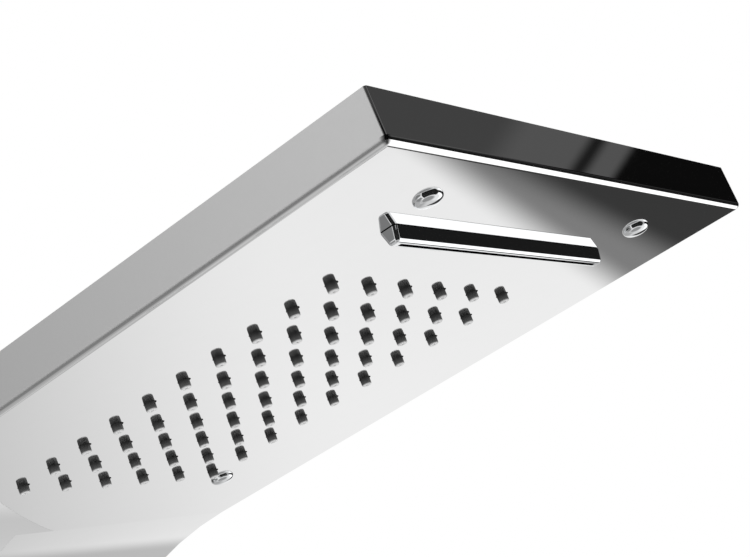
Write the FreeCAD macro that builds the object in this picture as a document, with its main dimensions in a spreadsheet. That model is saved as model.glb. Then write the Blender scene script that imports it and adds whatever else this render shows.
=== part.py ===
import FreeCAD, Part
import math
import operator
import os
import Sketcher
from FreeCAD import Placement, Rotation, Vector

# A wall-hung shower panel column: one folded steel shell with a rain head, a waterfall
# outlet, three tilting body jets, a lever mixer, a diverter and a hand-shower outlet.
# Millimetres.  +X is to the right of someone facing the wall, +Y is towards the wall, +Z is
# up.  The origin is on the wall, midway between the two screws of the upper bracket.

SHEET_NAME = "Sizes"

DRIVING_SIZES = {
    # shell
    "panel_width": 200.0,
    "panel_height": 1500.0,
    "projection": 450.0,
    "face_to_wall": 54.0,
    "wall_gap": 2.0,
    "head_flange": 15.2,
    "gauge": 1.2,
    "fold_radius": 2.0,
    "corner_radius": 0.8,
    "bend_radius": 150.0,
    "hang_height": 250.0,
    "cover_gauge": 1.0,
    # rain nozzles
    "nozzle_columns": 6,
    "nozzle_rows": 10,
    "pitch_across": 18.0,
    "first_row_setback": 64.5,
    "last_row_to_curve": 46.5,
    "nozzle_hole_diameter": 4.1,
    "nozzle_diameter": 3.5,
    "nozzle_draft_angle": 1.2,
    "nozzle_reach": 2.6,
    "nozzle_side_shift": 0.25,
    "nozzle_bore": 1.0,
    "mat_thickness": 1.5,
    # water box behind the nozzles
    "head_screw_spacing": 116.2,
    "head_screw_setback": 19.3,
    "head_screw_to_curve": 38.8,
    "box_margin": 9.5,
    "box_height": 10.0,
    "box_wall": 1.8,
    "nozzle_field_margin": 9.5,
    "waterfall_chamber_depth": 16.0,
    "fit_gap": 0.3,
    "thread_gap": 0.1,
    # head screws and their nuts
    "head_screw_diameter": 8.6,
    "head_screw_rim": 0.7,
    "head_screw_dome": 1.8,
    "head_screw_shank": 4.0,
    "head_nut_across": 7.0,
    "head_nut_height": 2.4,
    # cover screws
    "cover_screw_shank": 3.0,
    "cover_screw_head": 5.6,
    "cover_screw_head_height": 1.4,
    "cover_post_diameter": 8.0,
    "cover_post_spacing": 60.0,
    "cover_post_set_in": 2.5,
    # waterfall outlet
    "spout_length": 112.4,
    "spout_setback": 35.1,
    "spout_depth": 5.7,
    "spout_lip_depth": 3.4,
    "spout_drop": 4.3,
    "spout_front_lean": 0.9,
    "spout_corner_radius": 1.3,
    "spout_edge_radius": 1.0,
    "spout_slot_width": 1.2,
    "spout_lip_wall": 2.9,
    "spout_lip_groove": 0.7,
    "spout_end_wall": 6.0,
    "spout_neck_depth": 4.2,
    "spout_gasket": 0.2,
    "spout_gasket_inset": 0.5,
    "spout_screw_inset": 3.0,
    "spout_screw_shank": 2.5,
    "spout_screw_head": 4.6,
    "spout_screw_head_height": 1.6,
    "spout_screw_depth": 2.7,
    # rigid pipe from the mixer to the diverter
    "pipe_diameter": 12.0,
    "pipe_bore": 8.0,
    "pipe_lap": 6.0,
    "pipe_socket_wall": 3.0,
    # hoses
    "hose_diameter": 9.0,
    "hose_bore": 6.0,
    "hose_bend": 26.0,
    "spigot_bore": 4.0,
    "spigot_length": 16.0,
    "hose_lap": 12.0,
    "clamp_width": 5.0,
    "clamp_thickness": 0.4,
    "rain_hose_across": 40.0,
    "waterfall_hose_set_in": 14.8,
    "hand_hose_set_in": 11.8,
    "hose_cross_run": 78.0,
    "hose_side_step": 39.0,
    "elbow_diameter": 8.0,
    "hose_off_face": 14.0,
    # mixer
    "mixer_drop": 784.0,
    "mixer_body_diameter": 46.0,
    "mixer_body_back": 12.0,
    "mixer_neck_diameter": 40.0,
    "mixer_neck_reach": 12.0,
    "cartridge_diameter": 35.0,
    "cartridge_length": 30.0,
    "cartridge_nut_height": 4.0,
    "inlet_spacing": 120.0,
    "inlet_arm_diameter": 20.0,
    "inlet_socket_diameter": 27.0,
    "inlet_socket_length": 34.0,
    "inlet_thread_diameter": 18.6,
    "inlet_thread_depth": 14.0,
    "inlet_off_wall": 30.0,
    "inlet_lean": 20.0,
    "clamp_nut_height": 3.6,
    "clamp_nut_wall": 5.0,
    "escutcheon_width": 66.0,
    "escutcheon_height": 7.0,
    "escutcheon_wall": 1.6,
    "escutcheon_edge": 1.5,
    "turret_diameter": 22.0,
    "turret_reach": 6.0,
    "stem_width": 7.0,
    "stem_reach": 30.0,
    "stem_swing": 5.25,
    "stem_pin_diameter": 2.5,
    "dome_radius": 23.0,
    "dome_wall": 1.6,
    "dome_opening": 15.0,
    "handle_diameter": 46.0,
    "handle_skirt": 11.0,
    "handle_reach": 33.0,
    "lever_width": 15.0,
    "lever_thickness": 8.0,
    "lever_length": 78.0,
    "lever_edge": 1.6,
    "grub_diameter": 4.0,
    "grub_length": 5.0,
    "plug_height": 1.6,
    # diverter
    "diverter_drop": 650.0,
    "diverter_body_width": 108.0,
    "diverter_body_height": 40.0,
    "diverter_body_back": 14.0,
    "diverter_neck_diameter": 26.0,
    "diverter_neck_reach": 9.0,
    "diverter_bore": 20.0,
    "diverter_chamber_depth": 34.0,
    "gland_nut_height": 3.0,
    "port_diameter": 3.0,
    "spindle_diameter": 8.0,
    "spindle_reach": 15.0,
    "running_gap": 0.06,
    "disc_thickness": 4.0,
    "knob_diameter": 44.0,
    "knob_height": 20.0,
    "knob_stand_off": 1.5,
    "knob_wall": 3.0,
    "knob_hollow": 9.0,
    "knob_grip_width": 9.0,
    "knob_grip_height": 8.0,
    # body jets
    "jet_drop": 190.0,
    "jet_pitch": 140.0,
    "jet_frame_width": 58.0,
    "jet_frame_height": 4.5,
    "jet_frame_edge": 1.2,
    "jet_barrel_diameter": 28.0,
    "jet_barrel_length": 39.0,
    "jet_barrel_wall": 3.0,
    "jet_barrel_flat": 1.6,
    "jet_axis_depth": 5.8,
    "jet_pivot_diameter": 6.0,
    "jet_pivot_length": 3.0,
    "jet_housing_width": 50.0,
    "jet_housing_wall": 2.2,
    "jet_housing_back": 16.0,
    "jet_spray_hole": 1.4,
    "jet_spray_pitch": 5.0,
    "jet_spray_row_pitch": 4.0,
    "jet_gasket": 0.8,
    "jet_screw_shank": 3.0,
    "jet_screw_head": 5.4,
    "jet_screw_head_height": 1.8,
    "jet_screw_depth": 9.0,
    # hand-shower outlet and holder
    "hand_set_in": 34.0,
    "outlet_above_foot": 134.8,
    "outlet_plate_diameter": 34.0,
    "outlet_plate_height": 4.0,
    "outlet_neck_diameter": 20.0,
    "outlet_reach": 30.0,
    "outlet_drop_length": 24.0,
    "outlet_thread_diameter": 20.9,
    "outlet_thread_length": 11.0,
    "outlet_bore": 11.0,
    "outlet_tail_length": 26.0,
    "outlet_nut_across": 30.0,
    "outlet_nut_height": 6.0,
    "holder_drop": 560.0,
    "holder_plate_diameter": 34.0,
    "holder_plate_height": 5.0,
    "holder_arm_diameter": 16.0,
    "holder_pivot_reach": 24.0,
    "holder_pin_diameter": 5.0,
    "holder_screw_shank": 5.0,
    "holder_screw_head": 9.0,
    "holder_screw_head_height": 3.0,
    "cradle_tongue": 6.0,
    "cradle_reach": 26.0,
    "cradle_bore": 24.0,
    "cradle_taper": 2.0,
    "cradle_wall": 3.2,
    "cradle_height": 26.0,
    "cradle_mouth": 15.0,
    # wall brackets
    "bracket_gauge": 2.0,
    "bracket_screw_spacing": 100.0,
    "bracket_hole": 5.5,
    "bracket_half_height": 18.0,
    "bracket_shelf": 14.0,
    "bracket_shelf_rise": 14.0,
    "bracket_lip": 18.0,
    "bracket_width": 140.0,
    "hanger_web_set": 20.0,
    "hanger_lip_set": 8.0,
    "hanger_web_height": 26.0,
    "hanger_lip_height": 18.0,
    "lower_bracket_above_foot": 224.8,
    "ear_depth": 24.0,
    "ear_height": 30.0,
    "lock_screw_set": 15.0,
    "lock_screw_shank": 4.0,
    "lock_screw_head": 7.6,
    "lock_screw_head_height": 2.2,
    "lock_screw_length": 8.0,
}

doc = FreeCAD.newDocument("shower_panel_column")
sheet = doc.addObject("Spreadsheet::Sheet", SHEET_NAME)
for row, (alias, amount) in enumerate(DRIVING_SIZES.items(), start=1):
    sheet.set(f"A{row}", alias.replace("_", " "))
    sheet.set(f"B{row}", str(amount))
    sheet.setAlias(f"B{row}", alias)
doc.recompute()


class Size:
    """A length worked out from the sheet: its formula as text, and its present value."""

    def __init__(self, text, value):
        self.text = text
        self.value = value

    def joined(self, sign, action, other, swapped=False):
        if not isinstance(other, Size):
            other = Size(str(other), other)
        left, right = (other, self) if swapped else (self, other)
        return Size(f"({left.text} {sign} {right.text})", action(left.value, right.value))

    def __add__(self, other):
        return self.joined("+", operator.add, other)

    def __radd__(self, other):
        return self.joined("+", operator.add, other, swapped=True)

    def __sub__(self, other):
        return self.joined("-", operator.sub, other)

    def __rsub__(self, other):
        return self.joined("-", operator.sub, other, swapped=True)

    def __mul__(self, other):
        return self.joined("*", operator.mul, other)

    def __rmul__(self, other):
        return self.joined("*", operator.mul, other, swapped=True)

    def __truediv__(self, other):
        return self.joined("/", operator.truediv, other)

    def __neg__(self):
        return self * -1


def size(alias):
    return Size(f"{SHEET_NAME}.{alias}", float(sheet.get(alias)))


ZERO = Size("0", 0.0)
STRAIGHT_DOWN = Size("180", 180.0)


def bind(item, **sizes):
    """Tie properties of an object to the sheet."""
    for name, amount in sizes.items():
        setattr(item, name, amount.value)
        item.setExpression(name, amount.text)


def place(item, x=ZERO, y=ZERO, z=ZERO, rotation=Rotation()):
    item.Placement = Placement(Vector(x.value, y.value, z.value), rotation)
    for axis, amount in (("x", x), ("y", y), ("z", z)):
        if amount is not ZERO:
            item.setExpression(f"Placement.Base.{axis}", amount.text)


def block(name, x, y, z):
    """A box between two limits along each axis."""
    item = doc.addObject("Part::Box", name)
    bind(item, Length=x[1] - x[0], Width=y[1] - y[0], Height=z[1] - z[0])
    place(item, x[0], y[0], z[0])
    return item


AXIS_TURN = {
    "X": Rotation(Vector(0, 1, 0), 90),
    "Y": Rotation(Vector(1, 0, 0), -90),
    "Z": Rotation(),
}


def rod(name, axis, diameter, span, **centre):
    """A cylinder along an axis, between two limits; centre gives its other coordinates."""
    item = doc.addObject("Part::Cylinder", name)
    bind(item, Radius=diameter / 2, Height=span[1] - span[0])
    place(item, rotation=AXIS_TURN[axis], **{axis.lower(): span[0]}, **centre)
    return item


def taper(name, axis, diameters, span, **centre):
    """A cone along an axis, with a diameter at each limit."""
    item = doc.addObject("Part::Cone", name)
    bind(item, Radius1=diameters[0] / 2, Radius2=diameters[1] / 2, Height=span[1] - span[0])
    place(item, rotation=AXIS_TURN[axis], **{axis.lower(): span[0]}, **centre)
    return item


def ball(name, radius, **centre):
    item = doc.addObject("Part::Sphere", name)
    bind(item, Radius=radius)
    place(item, **centre)
    return item


def front_half_ball(name, radius, **centre):
    """The half of a ball that faces -Y."""
    item = ball(name, radius, **centre)
    item.Angle1 = 0
    item.Placement.Rotation = Rotation(Vector(1, 0, 0), 90)
    return item


HEX_CORNER = 2 / math.sqrt(3)


def hexagon(name, axis, across, span, **centre):
    """A six-sided prism, given across its flats."""
    item = doc.addObject("Part::Prism", name)
    item.Polygon = 6
    bind(item, Circumradius=across / 2 * HEX_CORNER, Height=span[1] - span[0])
    place(item, rotation=AXIS_TURN[axis], **{axis.lower(): span[0]}, **centre)
    return item


def fuse(name, *pieces):
    item = doc.addObject("Part::MultiFuse", name)
    item.Shapes = list(pieces)
    item.Refine = True
    return item


def common(name, *pieces):
    item = doc.addObject("Part::MultiCommon", name)
    item.Shapes = list(pieces)
    return item


def cut(name, base, *tools):
    """The base less every tool."""
    tool = tools[0]
    if len(tools) > 1:
        tool = fuse(f"{name}_tools", *tools)
    item = doc.addObject("Part::Cut", name)
    item.Base = base
    item.Tool = tool
    item.Refine = True
    return item


def group(name, pieces):
    """Identical pieces that share one node."""
    item = doc.addObject("Part::Compound", name)
    item.Links = list(pieces)
    return item


# ---- sketched bodies ---------------------------------------------------------------------


def new_body(name):
    return doc.addObject("PartDesign::Body", name)


def new_sketch(body, name, role, offset=ZERO):
    plane = next(item for item in body.Origin.OriginFeatures if item.Role == role)
    sketch = body.newObject("Sketcher::SketchObject", name)
    sketch.AttachmentSupport = [(plane, "")]
    sketch.MapMode = "FlatFace"
    if offset is not ZERO:
        sketch.AttachmentOffset = Placement(Vector(0, 0, offset.value), Rotation())
        sketch.setExpression("AttachmentOffset.Base.z", offset.text)
    return sketch


def pin_point(sketch, geometry, end, u, v):
    """Hold one point of a sketch at a bound distance from its axes: -1 is level, -2 upright."""
    for kind, amount, axis in (("DistanceX", u, -2), ("DistanceY", v, -1)):
        if amount is ZERO:
            sketch.addConstraint(Sketcher.Constraint("PointOnObject", geometry, end, axis))
            continue
        index = sketch.addConstraint(Sketcher.Constraint(kind, -1, 1, geometry, end, amount.value))
        sketch.setExpression(f"Constraints[{index}]", amount.text)


def outline(sketch, corners, arcs=None):
    """A closed outline through (u, v) corners.

    arcs maps the index of an edge's first corner to (centre u, centre v, radius)."""
    arcs = arcs or {}
    first = sketch.GeometryCount
    ends = []
    for index, (u, v) in enumerate(corners):
        far_u, far_v = corners[(index + 1) % len(corners)]
        start = Vector(u.value, v.value, 0)
        stop = Vector(far_u.value, far_v.value, 0)
        if index not in arcs:
            sketch.addGeometry(Part.LineSegment(start, stop))
            ends.append((1, 2))
            continue
        centre = Vector(arcs[index][0].value, arcs[index][1].value, 0)
        turn = (start - centre).cross(stop - centre).z
        angles = [math.atan2(point.y - centre.y, point.x - centre.x) for point in (start, stop)]
        if turn < 0:
            angles.reverse()
        circle = Part.Circle(centre, Vector(0, 0, 1), arcs[index][2].value)
        sketch.addGeometry(Part.ArcOfCircle(circle, *angles))
        ends.append((1, 2) if turn > 0 else (2, 1))
    count = len(corners)
    for index in range(count):
        after = (index + 1) % count
        sketch.addConstraint(
            Sketcher.Constraint("Coincident", first + index, ends[index][1], first + after, ends[after][0])
        )
    for index, (u, v) in enumerate(corners):
        pin_point(sketch, first + index, ends[index][0], u, v)
    for index, (_, _, radius) in arcs.items():
        at = sketch.addConstraint(Sketcher.Constraint("Radius", first + index, radius.value))
        sketch.setExpression(f"Constraints[{at}]", radius.text)


def rectangle(sketch, u, v):
    outline(sketch, [(u[0], v[0]), (u[1], v[0]), (u[1], v[1]), (u[0], v[1])])


def circle(sketch, u, v, diameter):
    index = sketch.addGeometry(Part.Circle(Vector(u.value, v.value, 0), Vector(0, 0, 1), diameter.value / 2))
    pin_point(sketch, index, 3, u, v)
    at = sketch.addConstraint(Sketcher.Constraint("Diameter", index, diameter.value))
    sketch.setExpression(f"Constraints[{at}]", diameter.text)


def pad(body, sketch, length, symmetric=False, reverse=False):
    item = body.newObject("PartDesign::Pad", f"{sketch.Name}_pad")
    item.Profile = sketch
    item.Midplane = symmetric
    item.Reversed = reverse
    bind(item, Length=length)
    doc.recompute()
    return item


def pocket_through(body, sketch):
    item = body.newObject("PartDesign::Pocket", f"{sketch.Name}_pocket")
    item.Profile = sketch
    item.Type = "ThroughAll"
    item.Midplane = True
    doc.recompute()
    return item


def fillet(body, base, radius, wanted):
    """Round the edges of a feature that the wanted test picks."""
    picked = [f"Edge{at}" for at, edge in enumerate(base.Shape.Edges, start=1) if wanted(edge)]
    item = body.newObject("PartDesign::Fillet", f"{base.Name}_round")
    item.Base = (base, picked)
    bind(item, Radius=radius)
    doc.recompute()
    return item


def near(amount, target, slack=0.01):
    return abs(amount - target) < slack


# ---- places that several pieces share -------------------------------------------------------

half_width = size("panel_width") / 2
inner_half_width = half_width - size("gauge")
front = -size("projection")
face = -size("face_to_wall")
face_inside = face + size("gauge")
back = -size("wall_gap")
underside = size("hang_height")
head_inside = underside + size("gauge")
head_top = underside + size("head_flange")
cover_inside = head_top - size("cover_gauge")
bottom = head_top - size("panel_height")
bend_start = face - size("bend_radius")
bend_end = underside - size("bend_radius")
back_radius = size("face_to_wall") - size("wall_gap") + size("bend_radius")
back_bend_end = head_top - back_radius

first_row = front + size("first_row_setback")
last_row = bend_start - size("last_row_to_curve")
row_half = (size("nozzle_columns") - 1) * size("pitch_across") / 2
head_screw_x = size("head_screw_spacing") / 2
head_screw_front = front + size("head_screw_setback")
head_screw_rear = bend_start - size("head_screw_to_curve")
spout_y = front + size("spout_setback")
spout_half = size("spout_length") / 2
spout_slot_half = spout_half - size("spout_end_wall")
spout_screw_x = spout_half - size("spout_screw_inset")

mixer_z = -size("mixer_drop")
diverter_z = -size("diverter_drop")
outlet_z = bottom + size("outlet_above_foot")
holder_z = -size("holder_drop")
lower_bracket_z = bottom + size("lower_bracket_above_foot")
hand_x = half_width - size("hand_set_in")
waterfall_hose_x = inner_half_width - size("waterfall_hose_set_in")
hand_hose_x = inner_half_width - size("hand_hose_set_in")
feed_hose_x = size("rain_hose_across")
JET_COUNT = 3
jet_places = [-size("jet_drop") - size("jet_pitch") * index for index in range(JET_COUNT)]
hose_y = face_inside + size("hose_off_face")
hose_z = head_inside + size("box_height") / 2
spigot_diameter = size("hose_bore") - 2 * size("thread_gap")


def both_sides(x):
    return (-x, x)


# ---- shell ------------------------------------------------------------------------------


def make_panel_shell():
    """One sheet, folded: column face, curve and head underside, with flanges turned back."""
    body = new_body("panel_shell")
    side = new_sketch(body, "shell_side", "YZ_Plane")
    corners = [
        (front, underside), (bend_start, underside), (face, bend_end), (face, bottom),
        (back, bottom), (back, back_bend_end), (bend_start, head_top), (front, head_top),
    ]
    arcs = {
        1: (bend_start, bend_end, size("bend_radius")),
        5: (bend_start, back_bend_end, back_radius),
    }
    outline(side, corners, arcs)
    solid = pad(body, side, size("panel_width"), symmetric=True)

    def on_visible_face(x, y, z):
        on_head = near(z, underside.value) and y < bend_start.value + 1
        on_column = near(y, face.value) and z < bend_end.value + 1
        reach = math.hypot(y - bend_start.value, z - bend_end.value)
        return on_head or on_column or near(reach, size("bend_radius").value)

    def folded(edge):
        middle = edge.valueAt((edge.FirstParameter + edge.LastParameter) / 2)
        if not on_visible_face(middle.x, middle.y, middle.z):
            return False
        at_end = near(middle.y, front.value) or near(middle.z, bottom.value)
        return at_end or near(abs(middle.x), half_width.value)

    def corner(edge):
        middle = edge.CenterOfMass
        if not near(abs(middle.x), half_width.value, 0.1):
            return False
        at_front = near(middle.y, front.value) and edge.Length > size("head_flange").value / 2
        at_foot = near(middle.z, bottom.value) and edge.Length > size("head_flange").value / 2
        return at_front or at_foot

    rounded = fillet(body, solid, size("fold_radius"), folded)
    rounded = fillet(body, rounded, size("corner_radius"), corner)

    gauge = size("gauge")
    past = size("fold_radius")
    inside = new_sketch(body, "shell_inside", "YZ_Plane")
    corners = [
        (front + gauge, head_inside), (bend_start, head_inside),
        (face_inside, bend_end), (face_inside, bottom + gauge),
        (back + past, bottom + gauge), (back + past, back_bend_end),
        (bend_start, head_top + past), (front + gauge, head_top + past),
    ]
    arcs = {
        1: (bend_start, bend_end, size("bend_radius") + gauge),
        5: (bend_start, back_bend_end, back_radius + past),
    }
    outline(inside, corners, arcs)
    hollow = body.newObject("PartDesign::Pocket", "shell_hollow")
    hollow.Profile = inside
    hollow.Midplane = True
    bind(hollow, Length=2 * inner_half_width)
    doc.recompute()

    nozzle = new_sketch(body, "shell_nozzle_hole", "XY_Plane")
    circle(nozzle, -row_half, first_row, size("nozzle_hole_diameter"))
    one_hole = pocket_through(body, nozzle)
    repeat_on_grid(body, "shell_nozzle_grid", [one_hole], nozzle)

    for number, x in enumerate(both_sides(head_screw_x)):
        for y in (head_screw_front, head_screw_rear):
            hole = new_sketch(body, f"shell_head_screw_{number}_{int(-y.value)}", "XY_Plane")
            circle(hole, x, y, size("head_screw_shank") + size("fit_gap"))
            pocket_through(body, hole)
    for number, x in enumerate(both_sides(spout_screw_x)):
        hole = new_sketch(body, f"shell_spout_screw_{number}", "XY_Plane")
        circle(hole, x, spout_y, size("spout_screw_shank") + size("fit_gap"))
        pocket_through(body, hole)
    slot = new_sketch(body, "shell_waterfall_slot", "XY_Plane")
    half_slot = size("spout_neck_depth") / 2 + size("fit_gap") / 2
    rectangle(
        slot,
        both_sides(spout_slot_half + size("fit_gap")),
        (spout_y - half_slot, spout_y + half_slot),
    )
    pocket_through(body, slot)

    openings = new_sketch(body, "shell_control_holes", "XZ_Plane")
    circle(openings, ZERO, mixer_z, size("mixer_neck_diameter") + size("fit_gap"))
    circle(openings, ZERO, diverter_z, size("diverter_neck_diameter") + size("fit_gap"))
    circle(openings, hand_x, outlet_z, size("outlet_neck_diameter") + size("fit_gap"))
    circle(openings, hand_x, holder_z, size("holder_screw_shank") + size("fit_gap"))
    spare = size("fit_gap")
    for z in jet_places:
        half_x = collar_half_x + spare
        half_z = collar_half_z + spare
        rectangle(openings, both_sides(half_x), (z - half_z, z + half_z))
        for screw_z in (z - jet_screw_z, z + jet_screw_z):
            circle(openings, ZERO, screw_z, size("jet_screw_shank") + spare)
    pocket_through(body, openings)
    side_holes = new_sketch(body, "shell_side_holes", "YZ_Plane")
    circle(side_holes, lock_screw_y, lower_bracket_z, size("lock_screw_shank") + spare)
    pocket_through(body, side_holes)
    return body


def repeat_on_grid(body, name, features, sketch):
    """Repeat features over the rain field, along the axes of the sketch."""
    grid = body.newObject("PartDesign::MultiTransform", name)
    grid.Originals = features
    across = body.newObject("PartDesign::LinearPattern", f"{name}_across")
    across.Direction = (sketch, ["H_Axis"])
    along = body.newObject("PartDesign::LinearPattern", f"{name}_along")
    along.Direction = (sketch, ["V_Axis"])
    bind(across, Length=2 * row_half)
    bind(along, Length=last_row - first_row)
    across.Occurrences = int(size("nozzle_columns").value)
    across.setExpression("Occurrences", size("nozzle_columns").text)
    along.Occurrences = int(size("nozzle_rows").value)
    along.setExpression("Occurrences", size("nozzle_rows").text)
    grid.Transformations = [across, along]
    body.Tip = grid
    doc.recompute()
    return grid


def make_head_top_cover():
    """The sheet that closes the head and the outside of the curve, between the flanges."""
    body = new_body("head_top_cover")
    side = new_sketch(body, "cover_side", "YZ_Plane")
    thickness = size("cover_gauge")
    corners = [
        (front + size("gauge"), cover_inside), (bend_start, cover_inside),
        (back - thickness, back_bend_end), (back, back_bend_end),
        (bend_start, head_top), (front + size("gauge"), head_top),
    ]
    arcs = {
        1: (bend_start, back_bend_end, back_radius - thickness),
        3: (bend_start, back_bend_end, back_radius),
    }
    outline(side, corners, arcs)
    pad(body, side, 2 * inner_half_width, symmetric=True)
    for x, y in cover_screw_places():
        hole = new_sketch(body, f"cover_hole_{int(x.value)}_{int(-y.value)}", "XY_Plane")
        circle(hole, x, y, size("cover_screw_shank") + size("fit_gap"))
        pocket_through(body, hole)
    return body


def cover_screw_places():
    """Four screws through the cover, spread about the middle of the rain field."""
    inset = size("cover_post_set_in")
    return [
        (x, y)
        for x in both_sides(size("cover_post_spacing") / 2)
        for y in (first_row + inset, last_row - inset)
    ]


def make_cover_screws():
    screws = []
    for number, (x, y) in enumerate(cover_screw_places(), start=1):
        name = f"cover_screw_{number}"
        head_span = (head_top, head_top + size("cover_screw_head_height"))
        shank_span = (head_inside + size("box_height") - size("box_wall") + size("fit_gap"), head_top)
        head = rod(f"{name}_head", "Z", size("cover_screw_head"), head_span, x=x, y=y)
        shank = rod(f"{name}_shank", "Z", size("cover_screw_shank"), shank_span, x=x, y=y)
        screws.append(fuse(name, head, shank))
    return group("cover_screws", screws)


# ---- rain and waterfall ---------------------------------------------------------------------

box_top = head_inside + size("box_height")
box_front = head_screw_front - size("box_margin")
box_rear = head_screw_rear + size("box_margin")
box_half = head_screw_x + size("box_margin")
rain_half = row_half + size("nozzle_field_margin")
rain_front = first_row - size("nozzle_field_margin")
rain_rear = last_row + size("nozzle_field_margin")
chamber_roof = box_top - size("box_wall")
waterfall_half = spout_screw_x + size("spout_screw_head") / 2 + size("fit_gap")
waterfall_front = spout_y - size("waterfall_chamber_depth") / 2
waterfall_rear = spout_y + size("waterfall_chamber_depth") / 2


def head_screw_places():
    return [
        (x, y) for x in both_sides(head_screw_x) for y in (head_screw_front, head_screw_rear)
    ]


def make_water_box():
    """Shallow box over the nozzles, with a rain chamber and a waterfall chamber."""
    body = block(
        "water_box_body", both_sides(box_half), (box_front, box_rear), (head_inside, box_top)
    )
    posts = [
        rod(f"water_box_post_{n}", "Z", size("cover_post_diameter"), (box_top, cover_inside), x=x, y=y)
        for n, (x, y) in enumerate(cover_screw_places(), start=1)
    ]
    spigot = rod(
        "water_box_spigot", "Y", spigot_diameter, (box_rear, box_rear + size("spigot_length")),
        x=-feed_hose_x, z=hose_z,
    )
    solid = fuse("water_box_solid", body, spigot, *posts)
    rain = block("rain_chamber", both_sides(rain_half), (rain_front, rain_rear), (head_inside, chamber_roof))
    waterfall = block(
        "waterfall_chamber", both_sides(waterfall_half), (waterfall_front, waterfall_rear),
        (head_inside, chamber_roof),
    )
    spigot_bore = rod(
        "water_box_spigot_bore", "Y", size("spigot_bore"),
        (rain_rear, box_rear + size("spigot_length")), x=-feed_hose_x, z=hose_z,
    )
    side_port = rod(
        "water_box_side_port", "X", size("elbow_diameter"), (waterfall_half, box_half), y=spout_y, z=hose_z
    )
    screw_holes = [
        rod(
            f"water_box_screw_hole_{n}", "Z", size("head_screw_shank") + size("fit_gap"),
            (head_inside, box_top), x=x, y=y,
        )
        for n, (x, y) in enumerate(head_screw_places(), start=1)
    ]
    post_holes = [
        rod(
            f"water_box_post_hole_{n}", "Z", size("cover_screw_shank"), (chamber_roof, cover_inside),
            x=x, y=y,
        )
        for n, (x, y) in enumerate(cover_screw_places(), start=1)
    ]
    return cut(
        "water_box", solid, rain, waterfall, spigot_bore, side_port, *screw_holes, *post_holes
    )


def make_nozzle_mat():
    """One silicone mat whose nozzles stand through the holes, a little left of their middles."""
    body = new_body("nozzle_mat")
    plate = new_sketch(body, "mat_plate", "XY_Plane", head_inside)
    gap = size("fit_gap") / 2
    rectangle(plate, both_sides(rain_half - gap), (rain_front + gap, rain_rear - gap))
    pad(body, plate, size("mat_thickness"))
    root = new_sketch(body, "mat_nozzle", "XY_Plane", head_inside)
    nozzle_x = -row_half - size("nozzle_side_shift")
    circle(root, nozzle_x, first_row, size("nozzle_diameter"))
    nozzle = pad(body, root, size("gauge") + size("nozzle_reach"), reverse=True)
    nozzle.TaperAngle = -size("nozzle_draft_angle").value
    nozzle.setExpression("TaperAngle", (-size("nozzle_draft_angle")).text)
    doc.recompute()
    bore = new_sketch(body, "mat_bore", "XY_Plane", head_inside)
    circle(bore, nozzle_x, first_row, size("nozzle_bore"))
    hole = pocket_through(body, bore)
    repeat_on_grid(body, "mat_grid", [nozzle, hole], root)
    return body


def make_waterfall_gasket():
    inset = size("spout_gasket_inset")
    outer = block(
        "gasket_sheet", both_sides(spout_half - inset),
        (spout_base_span[0] + inset, spout_base_span[1] - inset), (spout_top, underside),
    )
    hole = block(
        "gasket_window", both_sides(spout_slot_half + size("fit_gap")),
        (spout_y - spout_neck_half - size("fit_gap") / 2, spout_y + spout_neck_half + size("fit_gap") / 2),
        (spout_top, underside),
    )
    screw_holes = [
        rod(f"gasket_hole_{n}", "Z", size("spout_screw_shank") + size("fit_gap"), (spout_top, underside),
            x=x, y=spout_y)
        for n, x in enumerate(both_sides(spout_screw_x))
    ]
    return cut("waterfall_gasket", outer, hole, *screw_holes)


spout_top = underside - size("spout_gasket")
spout_outlet = spout_top - size("spout_drop")
spout_neck_half = size("spout_neck_depth") / 2
spout_base_span = (spout_y - size("spout_depth") / 2, spout_y + size("spout_depth") / 2)


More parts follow.
